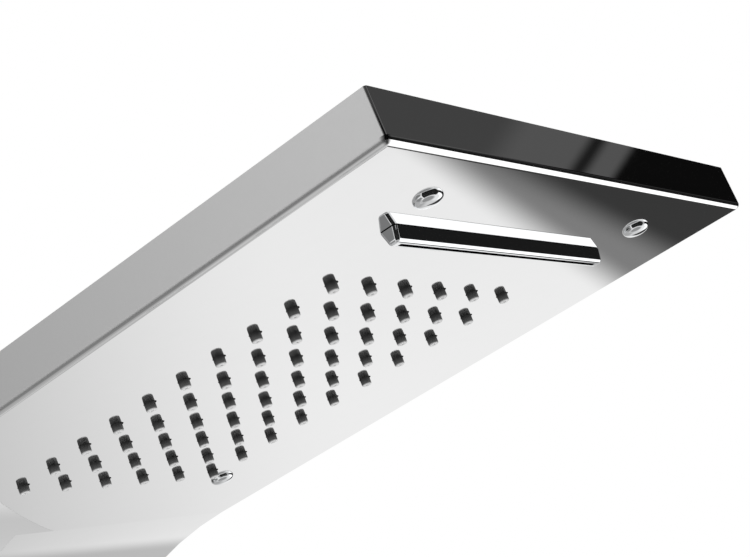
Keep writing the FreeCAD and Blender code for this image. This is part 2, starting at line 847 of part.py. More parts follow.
def make_waterfall_spout():
    """Chrome bar with a wide slot; its front leans back a little, its rear more.

    The slot's lip is a shallow groove that runs on over the two screws."""
    body = new_body("waterfall_spout")
    side = new_sketch(body, "spout_side", "YZ_Plane")
    lip_front = spout_base_span[0] + size("spout_front_lean")
    corners = [
        (lip_front, spout_outlet), (lip_front + size("spout_lip_depth"), spout_outlet),
        (spout_base_span[1], spout_top), (spout_base_span[0], spout_top),
    ]
    outline(side, corners)
    bar = pad(body, side, size("spout_length"), symmetric=True)

    def upright(edge):
        low, high = edge.BoundBox.ZMin, edge.BoundBox.ZMax
        return near(low, spout_outlet.value) and near(high, spout_top.value)

    def around_outlet(edge):
        return near(edge.BoundBox.ZMax, spout_outlet.value)

    bar = fillet(body, bar, size("spout_corner_radius"), upright)
    fillet(body, bar, size("spout_edge_radius"), around_outlet)
    neck = new_sketch(body, "spout_neck", "XY_Plane", spout_top)
    rectangle(neck, both_sides(spout_slot_half), (spout_y - spout_neck_half, spout_y + spout_neck_half))
    pad(body, neck, size("spout_gasket") + size("gauge") + size("mat_thickness"))
    slot = new_sketch(body, "spout_slot", "XY_Plane")
    half_slot = size("spout_slot_width") / 2
    wall = (size("spout_neck_depth") - size("spout_slot_width")) / 2
    rectangle(slot, both_sides(spout_slot_half - wall), (spout_y - half_slot, spout_y + half_slot))
    pocket_through(body, slot)
    lip = new_sketch(body, "spout_lip", "XY_Plane", spout_outlet)
    lip_half = spout_half - size("spout_lip_wall")
    rectangle(lip, both_sides(lip_half), (spout_y - half_slot, spout_y + half_slot))
    groove = body.newObject("PartDesign::Pocket", "spout_lip_groove")
    groove.Profile = lip
    groove.Reversed = True
    bind(groove, Length=size("spout_lip_groove"))
    doc.recompute()
    for number, x in enumerate(both_sides(spout_screw_x)):
        hole = new_sketch(body, f"spout_screw_hole_{number}", "XY_Plane", spout_top)
        circle(hole, x, spout_y, size("spout_screw_shank"))
        blind = body.newObject("PartDesign::Pocket", f"spout_screw_hole_{number}_pocket")
        blind.Profile = hole
        bind(blind, Length=size("spout_screw_depth"))
        doc.recompute()
    return body


def make_spout_screws():
    screws = []
    for number, x in enumerate(both_sides(spout_screw_x), start=1):
        name = f"spout_screw_{number}"
        head_span = (head_inside, head_inside + size("spout_screw_head_height"))
        shank_span = (spout_top - size("spout_screw_depth") + size("fit_gap"), head_inside)
        head = rod(f"{name}_head", "Z", size("spout_screw_head"), head_span, x=x, y=spout_y)
        shank = rod(f"{name}_shank", "Z", size("spout_screw_shank"), shank_span, x=x, y=spout_y)
        screws.append(fuse(name, head, shank))
    return group("spout_screws", screws)


def dome_screw(name, x, y, tip):
    """A domed head on a short rim under the sheet, with its shank up to the tip."""
    half = size("head_screw_diameter") / 2
    dome = size("head_screw_dome")
    crown = underside - size("head_screw_rim") - dome
    radius = (half * half / dome + dome) / 2
    globe = ball(f"{name}_globe", radius, x=x, y=y, z=crown + radius)
    disc = rod(f"{name}_disc", "Z", size("head_screw_diameter"), (crown, underside), x=x, y=y)
    head = common(f"{name}_head", globe, disc)
    shank = rod(f"{name}_shank", "Z", size("head_screw_shank"), (underside, tip), x=x, y=y)
    return fuse(name, head, shank)


def make_head_screws():
    tip = box_top + size("head_nut_height")
    return group("head_screws", [
        dome_screw(f"head_screw_{n}", x, y, tip) for n, (x, y) in enumerate(head_screw_places(), start=1)
    ])


def make_head_screw_nuts():
    nuts = []
    for number, (x, y) in enumerate(head_screw_places(), start=1):
        span = (box_top, box_top + size("head_nut_height"))
        blank = hexagon(f"head_nut_{number}_blank", "Z", size("head_nut_across"), span, x=x, y=y)
        hole = rod(f"head_nut_{number}_hole", "Z", size("head_screw_shank"), span, x=x, y=y)
        nuts.append(cut(f"head_nut_{number}", blank, hole))
    return group("head_screw_nuts", nuts)


def make_waterfall_inlet_elbow():
    """Elbow out of the side of the water box, turning back towards the wall."""
    turn_x = waterfall_hose_x
    leg_end = spout_y + size("spigot_length")
    thickness = size("elbow_diameter")
    across = rod("elbow_across", "X", thickness, (waterfall_half, turn_x), y=spout_y, z=hose_z)
    knuckle = ball("elbow_knuckle", thickness / 2, x=turn_x, y=spout_y, z=hose_z)
    leg = rod("elbow_leg", "Y", spigot_diameter, (spout_y, leg_end), x=turn_x, z=hose_z)
    solid = fuse("elbow_solid", across, knuckle, leg)
    bores = (
        rod("elbow_across_bore", "X", size("spigot_bore"), (waterfall_half, turn_x), y=spout_y, z=hose_z),
        ball("elbow_knuckle_bore", size("spigot_bore") / 2, x=turn_x, y=spout_y, z=hose_z),
        rod("elbow_leg_bore", "Y", size("spigot_bore"), (spout_y, leg_end), x=turn_x, z=hose_z),
    )
    return cut("waterfall_inlet_elbow", solid, *bores)


# ---- hoses ------------------------------------------------------------------------------


def route(points, bends):
    """A path of straight runs through the points, each inner point rounded to its bend."""
    edges = []
    here = points[0]
    for corner, after, bend in zip(points[1:], points[2:], bends):
        arrive = (corner - here).normalize()
        leave = (after - corner).normalize()
        half_turn = arrive.getAngle(leave) / 2
        trim = bend * math.tan(half_turn)
        start = corner - arrive * trim
        stop = corner + leave * trim
        inward = (leave - arrive).normalize()
        middle = corner + inward * (bend / math.cos(half_turn) - bend)
        edges.append(Part.LineSegment(here, start).toShape())
        edges.append(Part.Arc(start, middle, stop).toShape())
        here = stop
    edges.append(Part.LineSegment(here, points[-1]).toShape())
    return Part.Wire(edges)


def make_hose(name, points, bends):
    """A rubber hose along its route; it reads its bore and outer size from the sheet."""
    path = route(points, bends)
    along = (points[1] - points[0]).normalize()
    skins = []
    for diameter in (size("hose_diameter").value, size("hose_bore").value):
        ring = Part.Wire([Part.Circle(points[0], along, diameter / 2).toShape()])
        skins.append(path.makePipeShell([ring], True, False))
    item = doc.addObject("Part::Feature", name)
    item.Shape = skins[0].cut(skins[1])
    item.Placement = Placement()
    return item


def at(x, y, z):
    return Vector(x.value, y.value, z.value)


diverter_top = diverter_z + size("diverter_body_height") / 2
diverter_foot = diverter_z - size("diverter_body_height") / 2
spigot_lap = size("spigot_length") - size("hose_lap")
head_hose_bend = hose_y - bend_start


def make_rain_feed_hose():
    """From the diverter up the column and round the curve to the rain chamber."""
    x = -feed_hose_x
    points = [
        at(x, box_rear + spigot_lap, hose_z), at(x, hose_y, hose_z), at(x, hose_y, diverter_top + spigot_lap)
    ]
    return make_hose("rain_feed_hose", points, [head_hose_bend.value])


def make_waterfall_feed_hose():
    """From the diverter up one side of the column and along the head to the waterfall elbow."""
    far_x = waterfall_hose_x
    near_x = feed_hose_x
    cross_high = jet_places[0] + size("jet_pitch")
    cross_low = cross_high - size("hose_cross_run")
    points = [
        at(far_x, spout_y + spigot_lap, hose_z), at(far_x, hose_y, hose_z), at(far_x, hose_y, cross_high),
        at(near_x, hose_y, cross_low), at(near_x, hose_y, diverter_top + spigot_lap),
    ]
    bend = size("hose_bend").value
    return make_hose("waterfall_feed_hose", points, [head_hose_bend.value, bend, bend])


def make_jet_hoses():
    """One hose from the diverter to the lowest jet, and one between each pair of jets."""
    half = size("jet_housing_width") / 2
    links = []
    for number in range(1, JET_COUNT):
        high = jet_places[number - 1] - half - spigot_lap
        low = jet_places[number] + half + spigot_lap
        links.append(straight_hose(f"jet_link_hose_{number}", ZERO, low, high))
    feed = straight_hose(
        "jet_feed_hose", ZERO, diverter_top + spigot_lap, jet_places[-1] - half - spigot_lap
    )
    return feed, group("jet_link_hoses", links)


def straight_hose(name, x, low, high):
    outer = rod(f"{name}_outer", "Z", size("hose_diameter"), (low, high), x=x, y=hose_y)
    inner = rod(f"{name}_inner", "Z", size("hose_bore"), (low, high), x=x, y=hose_y)
    return cut(name, outer, inner)


def make_hand_shower_feed_hose():
    """From the foot of the diverter, out past the mixer and back to the hose outlet."""
    near_x = feed_hose_x
    far_x = hand_hose_x
    step = size("hose_side_step")
    outlet_top = outlet_z + size("outlet_tail_length")
    points = [
        at(near_x, hose_y, diverter_foot - spigot_lap), at(near_x, hose_y, diverter_foot - step),
        at(far_x, hose_y, diverter_foot - 2 * step), at(far_x, hose_y, outlet_top + 2 * step),
        at(hand_x, hose_y, outlet_top + step), at(hand_x, hose_y, outlet_top - size("hose_lap")),
    ]
    bend = size("hose_bend").value
    return make_hose("hand_shower_feed_hose", points, [bend] * 4)


def clamp_ring(name, axis, middle, **centre):
    half = size("clamp_width") / 2
    span = (middle - half, middle + half)
    outer = rod(
        f"{name}_outer", axis, size("hose_diameter") + 2 * size("clamp_thickness"), span, **centre
    )
    inner = rod(f"{name}_inner", axis, size("hose_diameter"), span, **centre)
    return cut(name, outer, inner)


def make_hose_clamps():
    """A steel band near each end of every hose."""
    lap = spigot_lap + size("hose_lap") / 2
    half = size("jet_housing_width") / 2
    near_x = feed_hose_x
    upright = [
        (-near_x, diverter_top + lap), (near_x, diverter_top + lap), (ZERO, diverter_top + lap),
        (near_x, diverter_foot - lap), (hand_x, outlet_z + size("outlet_tail_length") - size("hose_lap") / 2),
    ]
    for number, jet_z in enumerate(jet_places):
        upright.append((ZERO, jet_z - half - lap))
        if number > 0:
            upright.append((ZERO, jet_z + half + lap))
    rings = [
        clamp_ring(f"hose_clamp_{n}", "Z", z, x=x, y=hose_y) for n, (x, z) in enumerate(upright, start=1)
    ]
    rings.append(clamp_ring("hose_clamp_rain", "Y", box_rear + lap, x=-near_x, z=hose_z))
    rings.append(
        clamp_ring("hose_clamp_waterfall", "Y", spout_y + lap, x=waterfall_hose_x, z=hose_z)
    )
    return group("hose_clamps", rings)


# ---- mixer ------------------------------------------------------------------------------

mixer_neck_end = face - size("mixer_neck_reach")
mixer_body_end = -size("mixer_body_back")
cartridge_front = mixer_neck_end + size("cartridge_nut_height")
cartridge_back = cartridge_front + size("cartridge_length")
pivot_y = mixer_neck_end - size("turret_reach") / 2
turret_front = mixer_neck_end - size("turret_reach")
stem_end = pivot_y - size("stem_reach")
inlet_y = -size("inlet_off_wall")
inlet_mouth = size("inlet_socket_length") - size("inlet_arm_diameter") / 2
cartridge_seat = size("cartridge_diameter") + 2 * size("thread_gap")
turret_stub = size("turret_diameter") / 2
turret_pin_half = size("turret_diameter") / 2 - size("stem_pin_diameter") / 2
boss_top = mixer_z + size("mixer_body_diameter") / 2 + size("pipe_lap")
clamp_nut_end = face - size("clamp_nut_height")
escutcheon_front = face - size("escutcheon_height")


def inlet_rod(name, diameter, span, x):
    """A cylinder about an inlet's line, which runs down from the arm and leans back to the wall."""
    lean = size("inlet_lean")
    leaning = math.radians(lean.value)
    rearward = Size(f"sin({lean.text} * 1 deg)", math.sin(leaning))
    downward = Size(f"cos({lean.text} * 1 deg)", math.cos(leaning))
    turn = STRAIGHT_DOWN + lean
    item = doc.addObject("Part::Cylinder", name)
    bind(item, Radius=diameter / 2, Height=span[1] - span[0])
    rotation = Rotation(Vector(1, 0, 0), turn.value)
    place(item, x, inlet_y + span[0] * rearward, mixer_z - span[0] * downward, rotation)
    item.setExpression("Placement.Rotation.Angle", turn.text)
    return item


def make_mixer_body():
    """Brass body: cartridge seat, an arm to each inlet socket and the outlet boss on top."""
    arm_half = size("inlet_spacing") / 2
    parts = [
        rod("mixer_barrel", "Y", size("mixer_body_diameter"), (face_inside, mixer_body_end),
            x=ZERO, z=mixer_z),
        rod("mixer_neck", "Y", size("mixer_neck_diameter"), (mixer_neck_end, face_inside),
            x=ZERO, z=mixer_z),
        rod("mixer_arms", "X", size("inlet_arm_diameter"), both_sides(arm_half), y=inlet_y, z=mixer_z),
        rod("mixer_boss", "Z", size("pipe_diameter") + 2 * size("pipe_socket_wall"), (mixer_z, boss_top),
            x=ZERO, y=hose_y),
    ]
    bores = [
        rod("mixer_seat", "Y", cartridge_seat, (mixer_neck_end, cartridge_back), x=ZERO, z=mixer_z),
        rod("mixer_outlet_bore", "Z", size("pipe_bore"), (mixer_z, boss_top), x=ZERO, y=hose_y),
        rod("mixer_pipe_socket", "Z", size("pipe_diameter"), (boss_top - size("pipe_lap"), boss_top),
            x=ZERO, y=hose_y),
    ]
    for side, x in zip(("left", "right"), both_sides(arm_half)):
        whole = (-size("inlet_arm_diameter") / 2, inlet_mouth)
        thread = (inlet_mouth - size("inlet_thread_depth"), inlet_mouth)
        parts.append(inlet_rod(f"mixer_{side}_socket", size("inlet_socket_diameter"), whole, x))
        bores.append(inlet_rod(f"mixer_{side}_thread", size("inlet_thread_diameter"), thread, x))
        bores.append(inlet_rod(f"mixer_{side}_rise", size("pipe_bore"), (ZERO, thread[0]), x))
    inner = size("pipe_bore")
    for side, span in (("left", (-arm_half, -inner)), ("right", (inner, arm_half))):
        bores.append(rod(f"mixer_{side}_way", "X", inner, span, y=inlet_y, z=mixer_z))
    return cut("mixer_body", fuse("mixer_casting", *parts), *bores)


def ring(name, axis, outer, bore, span, **centre):
    return cut(name, rod(f"{name}_outer", axis, outer, span, **centre),
               rod(f"{name}_bore", axis, bore, span, **centre))


def make_clamp_nut(name, neck, z):
    """Ring nut that draws a valve neck against the face of the shell."""
    across = neck + 2 * size("clamp_nut_wall")
    span = (clamp_nut_end, face)
    blank = hexagon(f"{name}_blank", "Y", across, span, x=ZERO, z=z)
    hole = rod(f"{name}_hole", "Y", neck + 2 * size("thread_gap"), span, x=ZERO, z=z)
    return cut(name, blank, hole)


def make_escutcheon(name, opening, z):
    """Square cover plate with rounded edges, hollow behind, over a clamp nut."""
    body = new_body(name)
    half = size("escutcheon_width") / 2
    plate = new_sketch(body, f"{name}_plate", "XZ_Plane", -face)
    rectangle(plate, both_sides(half), (z - half, z + half))
    block_pad = pad(body, plate, size("escutcheon_height"))

    def outer_edge(edge):
        return edge.CenterOfMass.y < face.value - size("escutcheon_height").value / 4

    fillet(body, block_pad, size("escutcheon_edge"), outer_edge)
    inside = new_sketch(body, f"{name}_inside", "XZ_Plane", -face)
    wall = size("escutcheon_wall")
    rectangle(inside, both_sides(half - wall), (z - half + wall, z + half - wall))
    hollow = body.newObject("PartDesign::Pocket", f"{name}_hollow")
    hollow.Profile = inside
    hollow.Reversed = True
    bind(hollow, Length=size("escutcheon_height") - wall)
    doc.recompute()
    hole = new_sketch(body, f"{name}_hole", "XZ_Plane")
    circle(hole, ZERO, z, opening)
    pocket_through(body, hole)
    return body


def make_mixer_cartridge():
    """Ceramic-disc cartridge, bored for the turret's stub."""
    centre = {"x": ZERO, "z": mixer_z}
    span = (cartridge_front, cartridge_back)
    shell = rod("cartridge_case", "Y", size("cartridge_diameter"), span, **centre)
    hole = rod(
        "cartridge_hole", "Y", turret_stub + 2 * size("running_gap"),
        (cartridge_front, cartridge_front + turret_stub + size("fit_gap")), **centre,
    )
    return cut("mixer_cartridge", shell, hole)


def make_mixer_turret():
    """Turns in the cartridge for temperature, and carries the stem on a pin."""
    centre = {"x": ZERO, "z": mixer_z}
    seat = cartridge_front - size("fit_gap")
    head = rod("turret_head", "Y", size("turret_diameter"), (turret_front, seat), **centre)
    stub = rod("turret_stub", "Y", turret_stub, (seat, cartridge_front + turret_stub), **centre)
    half = size("stem_width") / 2
    swing = size("stem_swing")
    slot = block(
        "turret_slot", both_sides(half + size("fit_gap")), (turret_front, pivot_y + swing),
        (mixer_z - swing, mixer_z + size("turret_diameter") / 2),
    )
    pin_hole = rod("turret_pin_hole", "X", size("stem_pin_diameter"), both_sides(size("turret_diameter") / 2),
                   y=pivot_y, z=mixer_z)
    return cut("mixer_turret", fuse("turret_solid", head, stub), slot, pin_hole)


def make_mixer_stem():
    """Square stem that tilts on the pin and carries the handle."""
    half = size("stem_width") / 2
    bar = block("stem_bar", both_sides(half), (stem_end, pivot_y + half), (mixer_z - half, mixer_z + half))
    hole = rod("stem_pin_way", "X", size("stem_pin_diameter") + 2 * size("running_gap"),
               both_sides(half), y=pivot_y, z=mixer_z)
    return cut("mixer_stem", bar, hole)


def make_mixer_dome():
    """Ball-shaped cover over the turret, open in front for the stem; its centre is the pivot."""
    centre = {"x": ZERO, "z": mixer_z}
    outer = size("dome_radius")
    inner = outer - size("dome_wall")
    skirt = rod("dome_skirt", "Y", 2 * outer, (pivot_y, clamp_nut_end), **centre)
    front_half = front_half_ball("dome_front", outer, y=pivot_y, **centre)
    return cut(
        "mixer_dome", fuse("dome_solid", skirt, front_half),
        rod("dome_skirt_inside", "Y", 2 * inner, (pivot_y, clamp_nut_end), **centre),
        ball("dome_inside", inner, y=pivot_y, **centre),
        rod("dome_window", "Y", 2 * size("dome_opening"), (pivot_y - outer, pivot_y), **centre),
    )


handle_front = pivot_y - size("handle_reach")
handle_rim = pivot_y - size("handle_skirt")
handle_grub_y = (handle_front + stem_end) / 2 + size("grub_diameter") / 2


def make_mixer_handle():
    """Round cap hollowed to the dome, with a flat lever hanging down from its front."""
    body = new_body("mixer_handle")
    half = size("handle_diameter") / 2
    cap = new_sketch(body, "handle_cap", "XZ_Plane", -handle_rim)
    circle(cap, ZERO, mixer_z, size("handle_diameter"))
    pad(body, cap, handle_rim - handle_front)
    lever = new_sketch(body, "handle_lever", "XZ_Plane", -handle_front)
    rectangle(lever, both_sides(size("lever_width") / 2), (mixer_z - size("lever_length"), mixer_z))
    whole = pad(body, lever, size("lever_thickness"), reverse=True)

    def outer_edge(edge):
        middle = edge.valueAt((edge.FirstParameter + edge.LastParameter) / 2)
        on_front = near(middle.y, handle_front.value)
        return on_front or middle.z < mixer_z.value - half.value - size("lever_width").value / 4

    fillet(body, whole, size("lever_edge"), outer_edge)
    doc.recompute()
    globe = ball("handle_dome_room", size("dome_radius") + size("fit_gap"), x=ZERO, y=pivot_y, z=mixer_z)
    stem_half = size("stem_width") / 2
    socket = block("handle_stem_socket", both_sides(stem_half), (stem_end, pivot_y),
                   (mixer_z - stem_half, mixer_z + stem_half))
    grub_way = rod("handle_grub_way", "Z", size("grub_diameter"), (mixer_z, mixer_z + half),
                   x=ZERO, y=handle_grub_y)
    body.Label = "handle_blank"
    result = cut("mixer_handle_finished", body, globe, socket, grub_way)
    result.Label = "mixer_handle"
    return result


def make_grub(name, low, **centre):
    """Headless set screw with a socket in its outer end."""
    high = low + size("grub_length")
    screw = rod(f"{name}_rod", "Z", size("grub_diameter"), (low, high), **centre)
    key_span = (high - size("grub_length") / 2, high)
    key = hexagon(f"{name}_key", "Z", size("grub_diameter") / 2, key_span, **centre)
    return cut(name, screw, key)


def make_handle_plug():
    """Small coloured plug over the handle's set screw."""
    top = mixer_z + size("handle_diameter") / 2 - size("fit_gap")
    return rod("handle_plug", "Z", size("grub_diameter"), (top - size("plug_height"), top),
               x=ZERO, y=handle_grub_y)


# ---- diverter ---------------------------------------------------------------------------

diverter_back = -size("diverter_body_back")
diverter_neck_end = face - size("diverter_neck_reach")
gland_back = diverter_neck_end + size("gland_nut_height")
chamber_back = diverter_neck_end + size("diverter_chamber_depth")
disc_front = chamber_back - size("fit_gap") - size("disc_thickness")
spindle_end = diverter_neck_end - size("spindle_reach")
knob_back = escutcheon_front - size("knob_stand_off")
knob_front = knob_back - size("knob_height")
knob_grub_y = (spindle_end + knob_back - size("knob_hollow")) / 2


def make_supply_pipe():
    span = (boss_top - size("pipe_lap"), diverter_foot + size("pipe_lap"))
    return ring("supply_pipe", "Z", size("pipe_diameter"), size("pipe_bore"), span, x=ZERO, y=hose_y)


def make_diverter_body():
    """Brass block with one chamber and four spigots: rain, jets, waterfall, hand shower."""
    near_x = feed_hose_x
    half = size("diverter_body_width") / 2
    parts = [
        block("diverter_block", both_sides(half), (face_inside, diverter_back),
              (diverter_foot, diverter_top)),
        rod("diverter_neck", "Y", size("diverter_neck_diameter"), (diverter_neck_end, face_inside),
            x=ZERO, z=diverter_z),
    ]
    bores = [
        rod("diverter_chamber", "Y", size("diverter_bore"), (diverter_neck_end, chamber_back),
            x=ZERO, z=diverter_z),
        rod("diverter_gallery", "X", size("spigot_bore"), both_sides(near_x), y=hose_y, z=diverter_z),
        rod("diverter_pipe_socket", "Z", size("pipe_diameter"),
            (diverter_foot, diverter_foot + size("pipe_lap")), x=ZERO, y=hose_y),
        rod("diverter_supply", "Z", size("pipe_bore"), (diverter_foot, diverter_z), x=ZERO, y=hose_y),
    ]
    high = diverter_top + size("spigot_length")
    low = diverter_foot - size("spigot_length")
    spigots = (
        ("rain", -near_x, diverter_top, high, diverter_z, high),
        ("jets", ZERO, diverter_top, high, diverter_z, high),
        ("waterfall", near_x, diverter_top, high, diverter_z, high),
        ("hand", near_x, low, diverter_foot, low, diverter_z),
    )
    for use, x, start, stop, bore_start, bore_stop in spigots:
        line = {"x": x, "y": hose_y}
        parts.append(rod(f"diverter_{use}_spigot", "Z", spigot_diameter, (start, stop), **line))
        bores.append(rod(f"diverter_{use}_bore", "Z", size("spigot_bore"), (bore_start, bore_stop), **line))
    return cut("diverter_body", fuse("diverter_casting", *parts), *bores)


def make_diverter_cartridge():
    span = (gland_back, disc_front - size("fit_gap"))
    outer = size("diverter_bore") - 2 * size("thread_gap")
    bore = size("spindle_diameter") + 2 * size("running_gap")
    return ring("diverter_cartridge", "Y", outer, bore, span, x=ZERO, z=diverter_z)


def make_gland_nut():
    outer = size("diverter_bore") - 2 * size("thread_gap")
    bore = size("spindle_diameter") + 2 * size("fit_gap")
    return ring("diverter_gland_nut", "Y", outer, bore, (diverter_neck_end, gland_back), x=ZERO, z=diverter_z)


def make_diverter_spindle():
    span = (spindle_end, disc_front + size("disc_thickness"))
    return rod("diverter_spindle", "Y", size("spindle_diameter"), span, x=ZERO, z=diverter_z)


def make_diverter_disc():
    """Ceramic disc with one port, on the inner end of the spindle."""
    span = (disc_front, disc_front + size("disc_thickness"))
    outer = size("diverter_bore") - size("port_diameter")
    disc = ring("disc_blank", "Y", outer, size("spindle_diameter"), span, x=ZERO, z=diverter_z)
    port = rod("disc_port", "Y", size("port_diameter"), span, x=outer / 2, z=diverter_z)
    return cut("diverter_disc", disc, port)


def make_diverter_knob():
    """Round knob with a straight grip across its front, hollow behind."""
    body = new_body("knob_blank")
    base = new_sketch(body, "knob_round", "XZ_Plane", -knob_back)
    circle(base, ZERO, diverter_z, size("knob_diameter"))
    drum = pad(body, base, size("knob_height"))
    fillet(body, drum, size("lever_edge"), lambda edge: near(edge.CenterOfMass.y, knob_front.value))
    grip = new_sketch(body, "knob_grip", "XZ_Plane", -knob_front)
    half = size("knob_grip_width") / 2
    reach = size("knob_diameter") / 2 - 2 * size("lever_edge")
    rectangle(grip, both_sides(half), (diverter_z - reach, diverter_z + reach))
    ridge = pad(body, grip, size("knob_grip_height"))
    top = knob_front.value - size("knob_grip_height").value / 4
    fillet(body, ridge, size("lever_edge"), lambda edge: edge.CenterOfMass.y < top)
    centre = {"x": ZERO, "z": diverter_z}
    hollow = rod("knob_hollow_way", "Y", size("knob_diameter") - 2 * size("knob_wall"),
                 (knob_back - size("knob_hollow"), knob_back), **centre)
    socket = rod("knob_socket", "Y", size("spindle_diameter"), (spindle_end, knob_back), **centre)
    grub_span = (diverter_z, diverter_z + size("knob_diameter") / 2)
    grub_way = rod("knob_grub_way", "Z", size("grub_diameter"), grub_span, x=ZERO, y=knob_grub_y)
    return cut("diverter_knob", body, hollow, socket, grub_way)


# ---- body jets --------------------------------------------------------------------------

jet_frame_back = face - size("jet_gasket")
jet_frame_front = jet_frame_back - size("jet_frame_height")
jet_axis_y = jet_frame_front + size("jet_axis_depth")
jet_opening = size("jet_barrel_diameter") + 4 * size("fit_gap")
jet_half_length = size("jet_barrel_length") / 2
collar_wall = size("jet_pivot_length") + size("fit_gap")
collar_half_x = jet_half_length + size("fit_gap") + collar_wall
collar_half_z = jet_opening / 2 + size("jet_housing_wall")
collar_back = jet_axis_y + size("jet_pivot_diameter") / 2 + size("jet_housing_wall")
housing_half = size("jet_housing_width") / 2
housing_back = -size("jet_housing_back")
jet_screw_z = (collar_half_z + size("fit_gap") + housing_half) / 2


def collar_window(name, z, span, spare):
    high = collar_half_z + spare
    return block(name, both_sides(collar_half_x + spare), span, (z - high, z + high))


def make_jet_frame(name, z):
    """Square chrome frame; its collar passes through the shell and carries the pivots."""
    body = new_body(f"{name}_blank")
    half = size("jet_frame_width") / 2
    plate = new_sketch(body, f"{name}_plate", "XZ_Plane", -jet_frame_back)
    rectangle(plate, both_sides(half), (z - half, z + half))
    slab = pad(body, plate, size("jet_frame_height"))
    middle = (jet_frame_back.value + jet_frame_front.value) / 2
    fillet(body, slab, size("jet_frame_edge"), lambda edge: edge.CenterOfMass.y < middle + 0.1)
    collar = collar_window(f"{name}_collar", z, (jet_frame_back, collar_back), ZERO)
    opening = block(
        f"{name}_opening", both_sides(jet_half_length + size("fit_gap")), (jet_frame_front, collar_back),
        (z - jet_opening / 2, z + jet_opening / 2),
    )
    pivots = rod(f"{name}_pivots", "X", size("jet_pivot_diameter") + 2 * size("running_gap"),
                 both_sides(collar_half_x - size("fit_gap")), y=jet_axis_y, z=z)
    tools = [opening, pivots]
    sink = jet_frame_front + size("jet_screw_head_height")
    for place_name, screw_z in (("upper", z + jet_screw_z), ("lower", z - jet_screw_z)):
        line = {"x": ZERO, "z": screw_z}
        way = (jet_frame_front, jet_frame_back)
        recess = (jet_frame_front, sink)
        tools.append(rod(f"{name}_{place_name}_way", "Y", size("jet_screw_shank"), way, **line))
        tools.append(rod(f"{name}_{place_name}_sink", "Y", size("jet_screw_head"), recess, **line))
    return cut(name, fuse(f"{name}_solid", body, collar), *tools)


def make_jet_roller(name, z):
    """Hollow barrel on two pivots, with a flat that holds rows of spray holes."""
    centre = {"y": jet_axis_y, "z": z}
    radius = size("jet_barrel_diameter") / 2
    barrel = rod(f"{name}_barrel", "X", size("jet_barrel_diameter"), both_sides(jet_half_length), **centre)
    pivots = rod(f"{name}_pivots", "X", size("jet_pivot_diameter"),
                 both_sides(jet_half_length + size("jet_pivot_length")), **centre)
    flat_y = jet_axis_y - radius + size("jet_barrel_flat")
    inner_radius = radius - size("jet_barrel_wall")
    inner_half = jet_half_length - size("jet_barrel_wall")
    tools = [
        block(f"{name}_flat", both_sides(jet_half_length), (jet_axis_y - radius, flat_y),
              (z - radius, z + radius)),
        rod(f"{name}_inside", "X", 2 * inner_radius, both_sides(inner_half), **centre),
        block(f"{name}_mouth", both_sides(inner_half), (jet_axis_y, jet_axis_y + radius),
              (z - size("jet_spray_pitch"), z + size("jet_spray_pitch"))),
    ]
    pitch = size("jet_spray_pitch")
    row_pitch = size("jet_spray_row_pitch")
    for row in range(-1, 2):
        for column in range(-2, 3):
            tools.append(rod(
                f"{name}_spray_{row + 2}_{column + 3}", "Y", size("jet_spray_hole"), (flat_y, jet_axis_y),
                x=pitch * column, z=z + row_pitch * row,
            ))
    return cut(name, fuse(f"{name}_solid", barrel, pivots), *tools)


def make_jet_housing(name, z, is_top):
    """Moulded water chamber behind the shell, with a hose spigot below and above."""
    case = block(f"{name}_case", both_sides(housing_half), (face_inside, housing_back),
                 (z - housing_half, z + housing_half))
    wall = size("jet_housing_wall")
    reach = housing_half + size("spigot_length")
    low = ZERO - reach + z
    high = z + (housing_half if is_top else reach)
    spigots = rod(f"{name}_spigots", "Z", spigot_diameter, (low, high), x=ZERO, y=hose_y)
    chamber_end = z if is_top else high
    tools = [
        collar_window(f"{name}_mouth", z, (face_inside, collar_back + size("fit_gap")), size("fit_gap")),
        block(f"{name}_chamber", both_sides(jet_half_length), (face_inside, housing_back - wall),
              (z - jet_opening / 2, z + jet_opening / 2)),
        rod(f"{name}_bore", "Z", size("spigot_bore"), (low, chamber_end), x=ZERO, y=hose_y),
    ]
    for place_name, screw_z in (("upper", z + jet_screw_z), ("lower", z - jet_screw_z)):
        tools.append(rod(f"{name}_{place_name}_hole", "Y", size("jet_screw_shank"),
                         (face_inside, face_inside + size("jet_screw_depth")), x=ZERO, z=screw_z))
    return cut(name, fuse(f"{name}_solid", case, spigots), *tools)


def make_jet_gaskets():
    gaskets = []
    half = size("jet_frame_width") / 2 - size("jet_frame_edge")
    for number, z in enumerate(jet_places, start=1):
        name = f"jet_gasket_{number}"
        pieces = block(f"{name}_sheet", both_sides(half), (jet_frame_back, face), (z - half, z + half))
        tools = [collar_window(f"{name}_window", z, (jet_frame_back, face), size("fit_gap"))]
        for index, screw_z in enumerate((z - jet_screw_z, z + jet_screw_z)):
            tools.append(rod(f"{name}_hole_{index}", "Y", size("jet_screw_shank") + size("fit_gap"),
                             (jet_frame_back, face), x=ZERO, z=screw_z))
        gaskets.append(cut(name, pieces, *tools))
    return group("jet_gaskets", gaskets)


def make_jet_screws():
    screws = []
    for number, jet_z in enumerate(jet_places, start=1):
        for side, z in (("lower", jet_z - jet_screw_z), ("upper", jet_z + jet_screw_z)):
            name = f"jet_screw_{number}_{side}"
            seat = jet_frame_front + size("jet_screw_head_height")
            tip = face_inside + size("jet_screw_depth") - size("fit_gap")
            head = rod(f"{name}_head", "Y", size("jet_screw_head") - 2 * size("thread_gap"),
                       (jet_frame_front, seat), x=ZERO, z=z)
            shank = rod(f"{name}_shank", "Y", size("jet_screw_shank"), (seat, tip), x=ZERO, z=z)
            key = hexagon(f"{name}_key", "Y", size("jet_screw_head") / 2,
                          (jet_frame_front, jet_frame_front + size("jet_screw_head_height") / 2), x=ZERO, z=z)
            screws.append(cut(name, fuse(f"{name}_solid", head, shank), key))
    return group("jet_screws", screws)


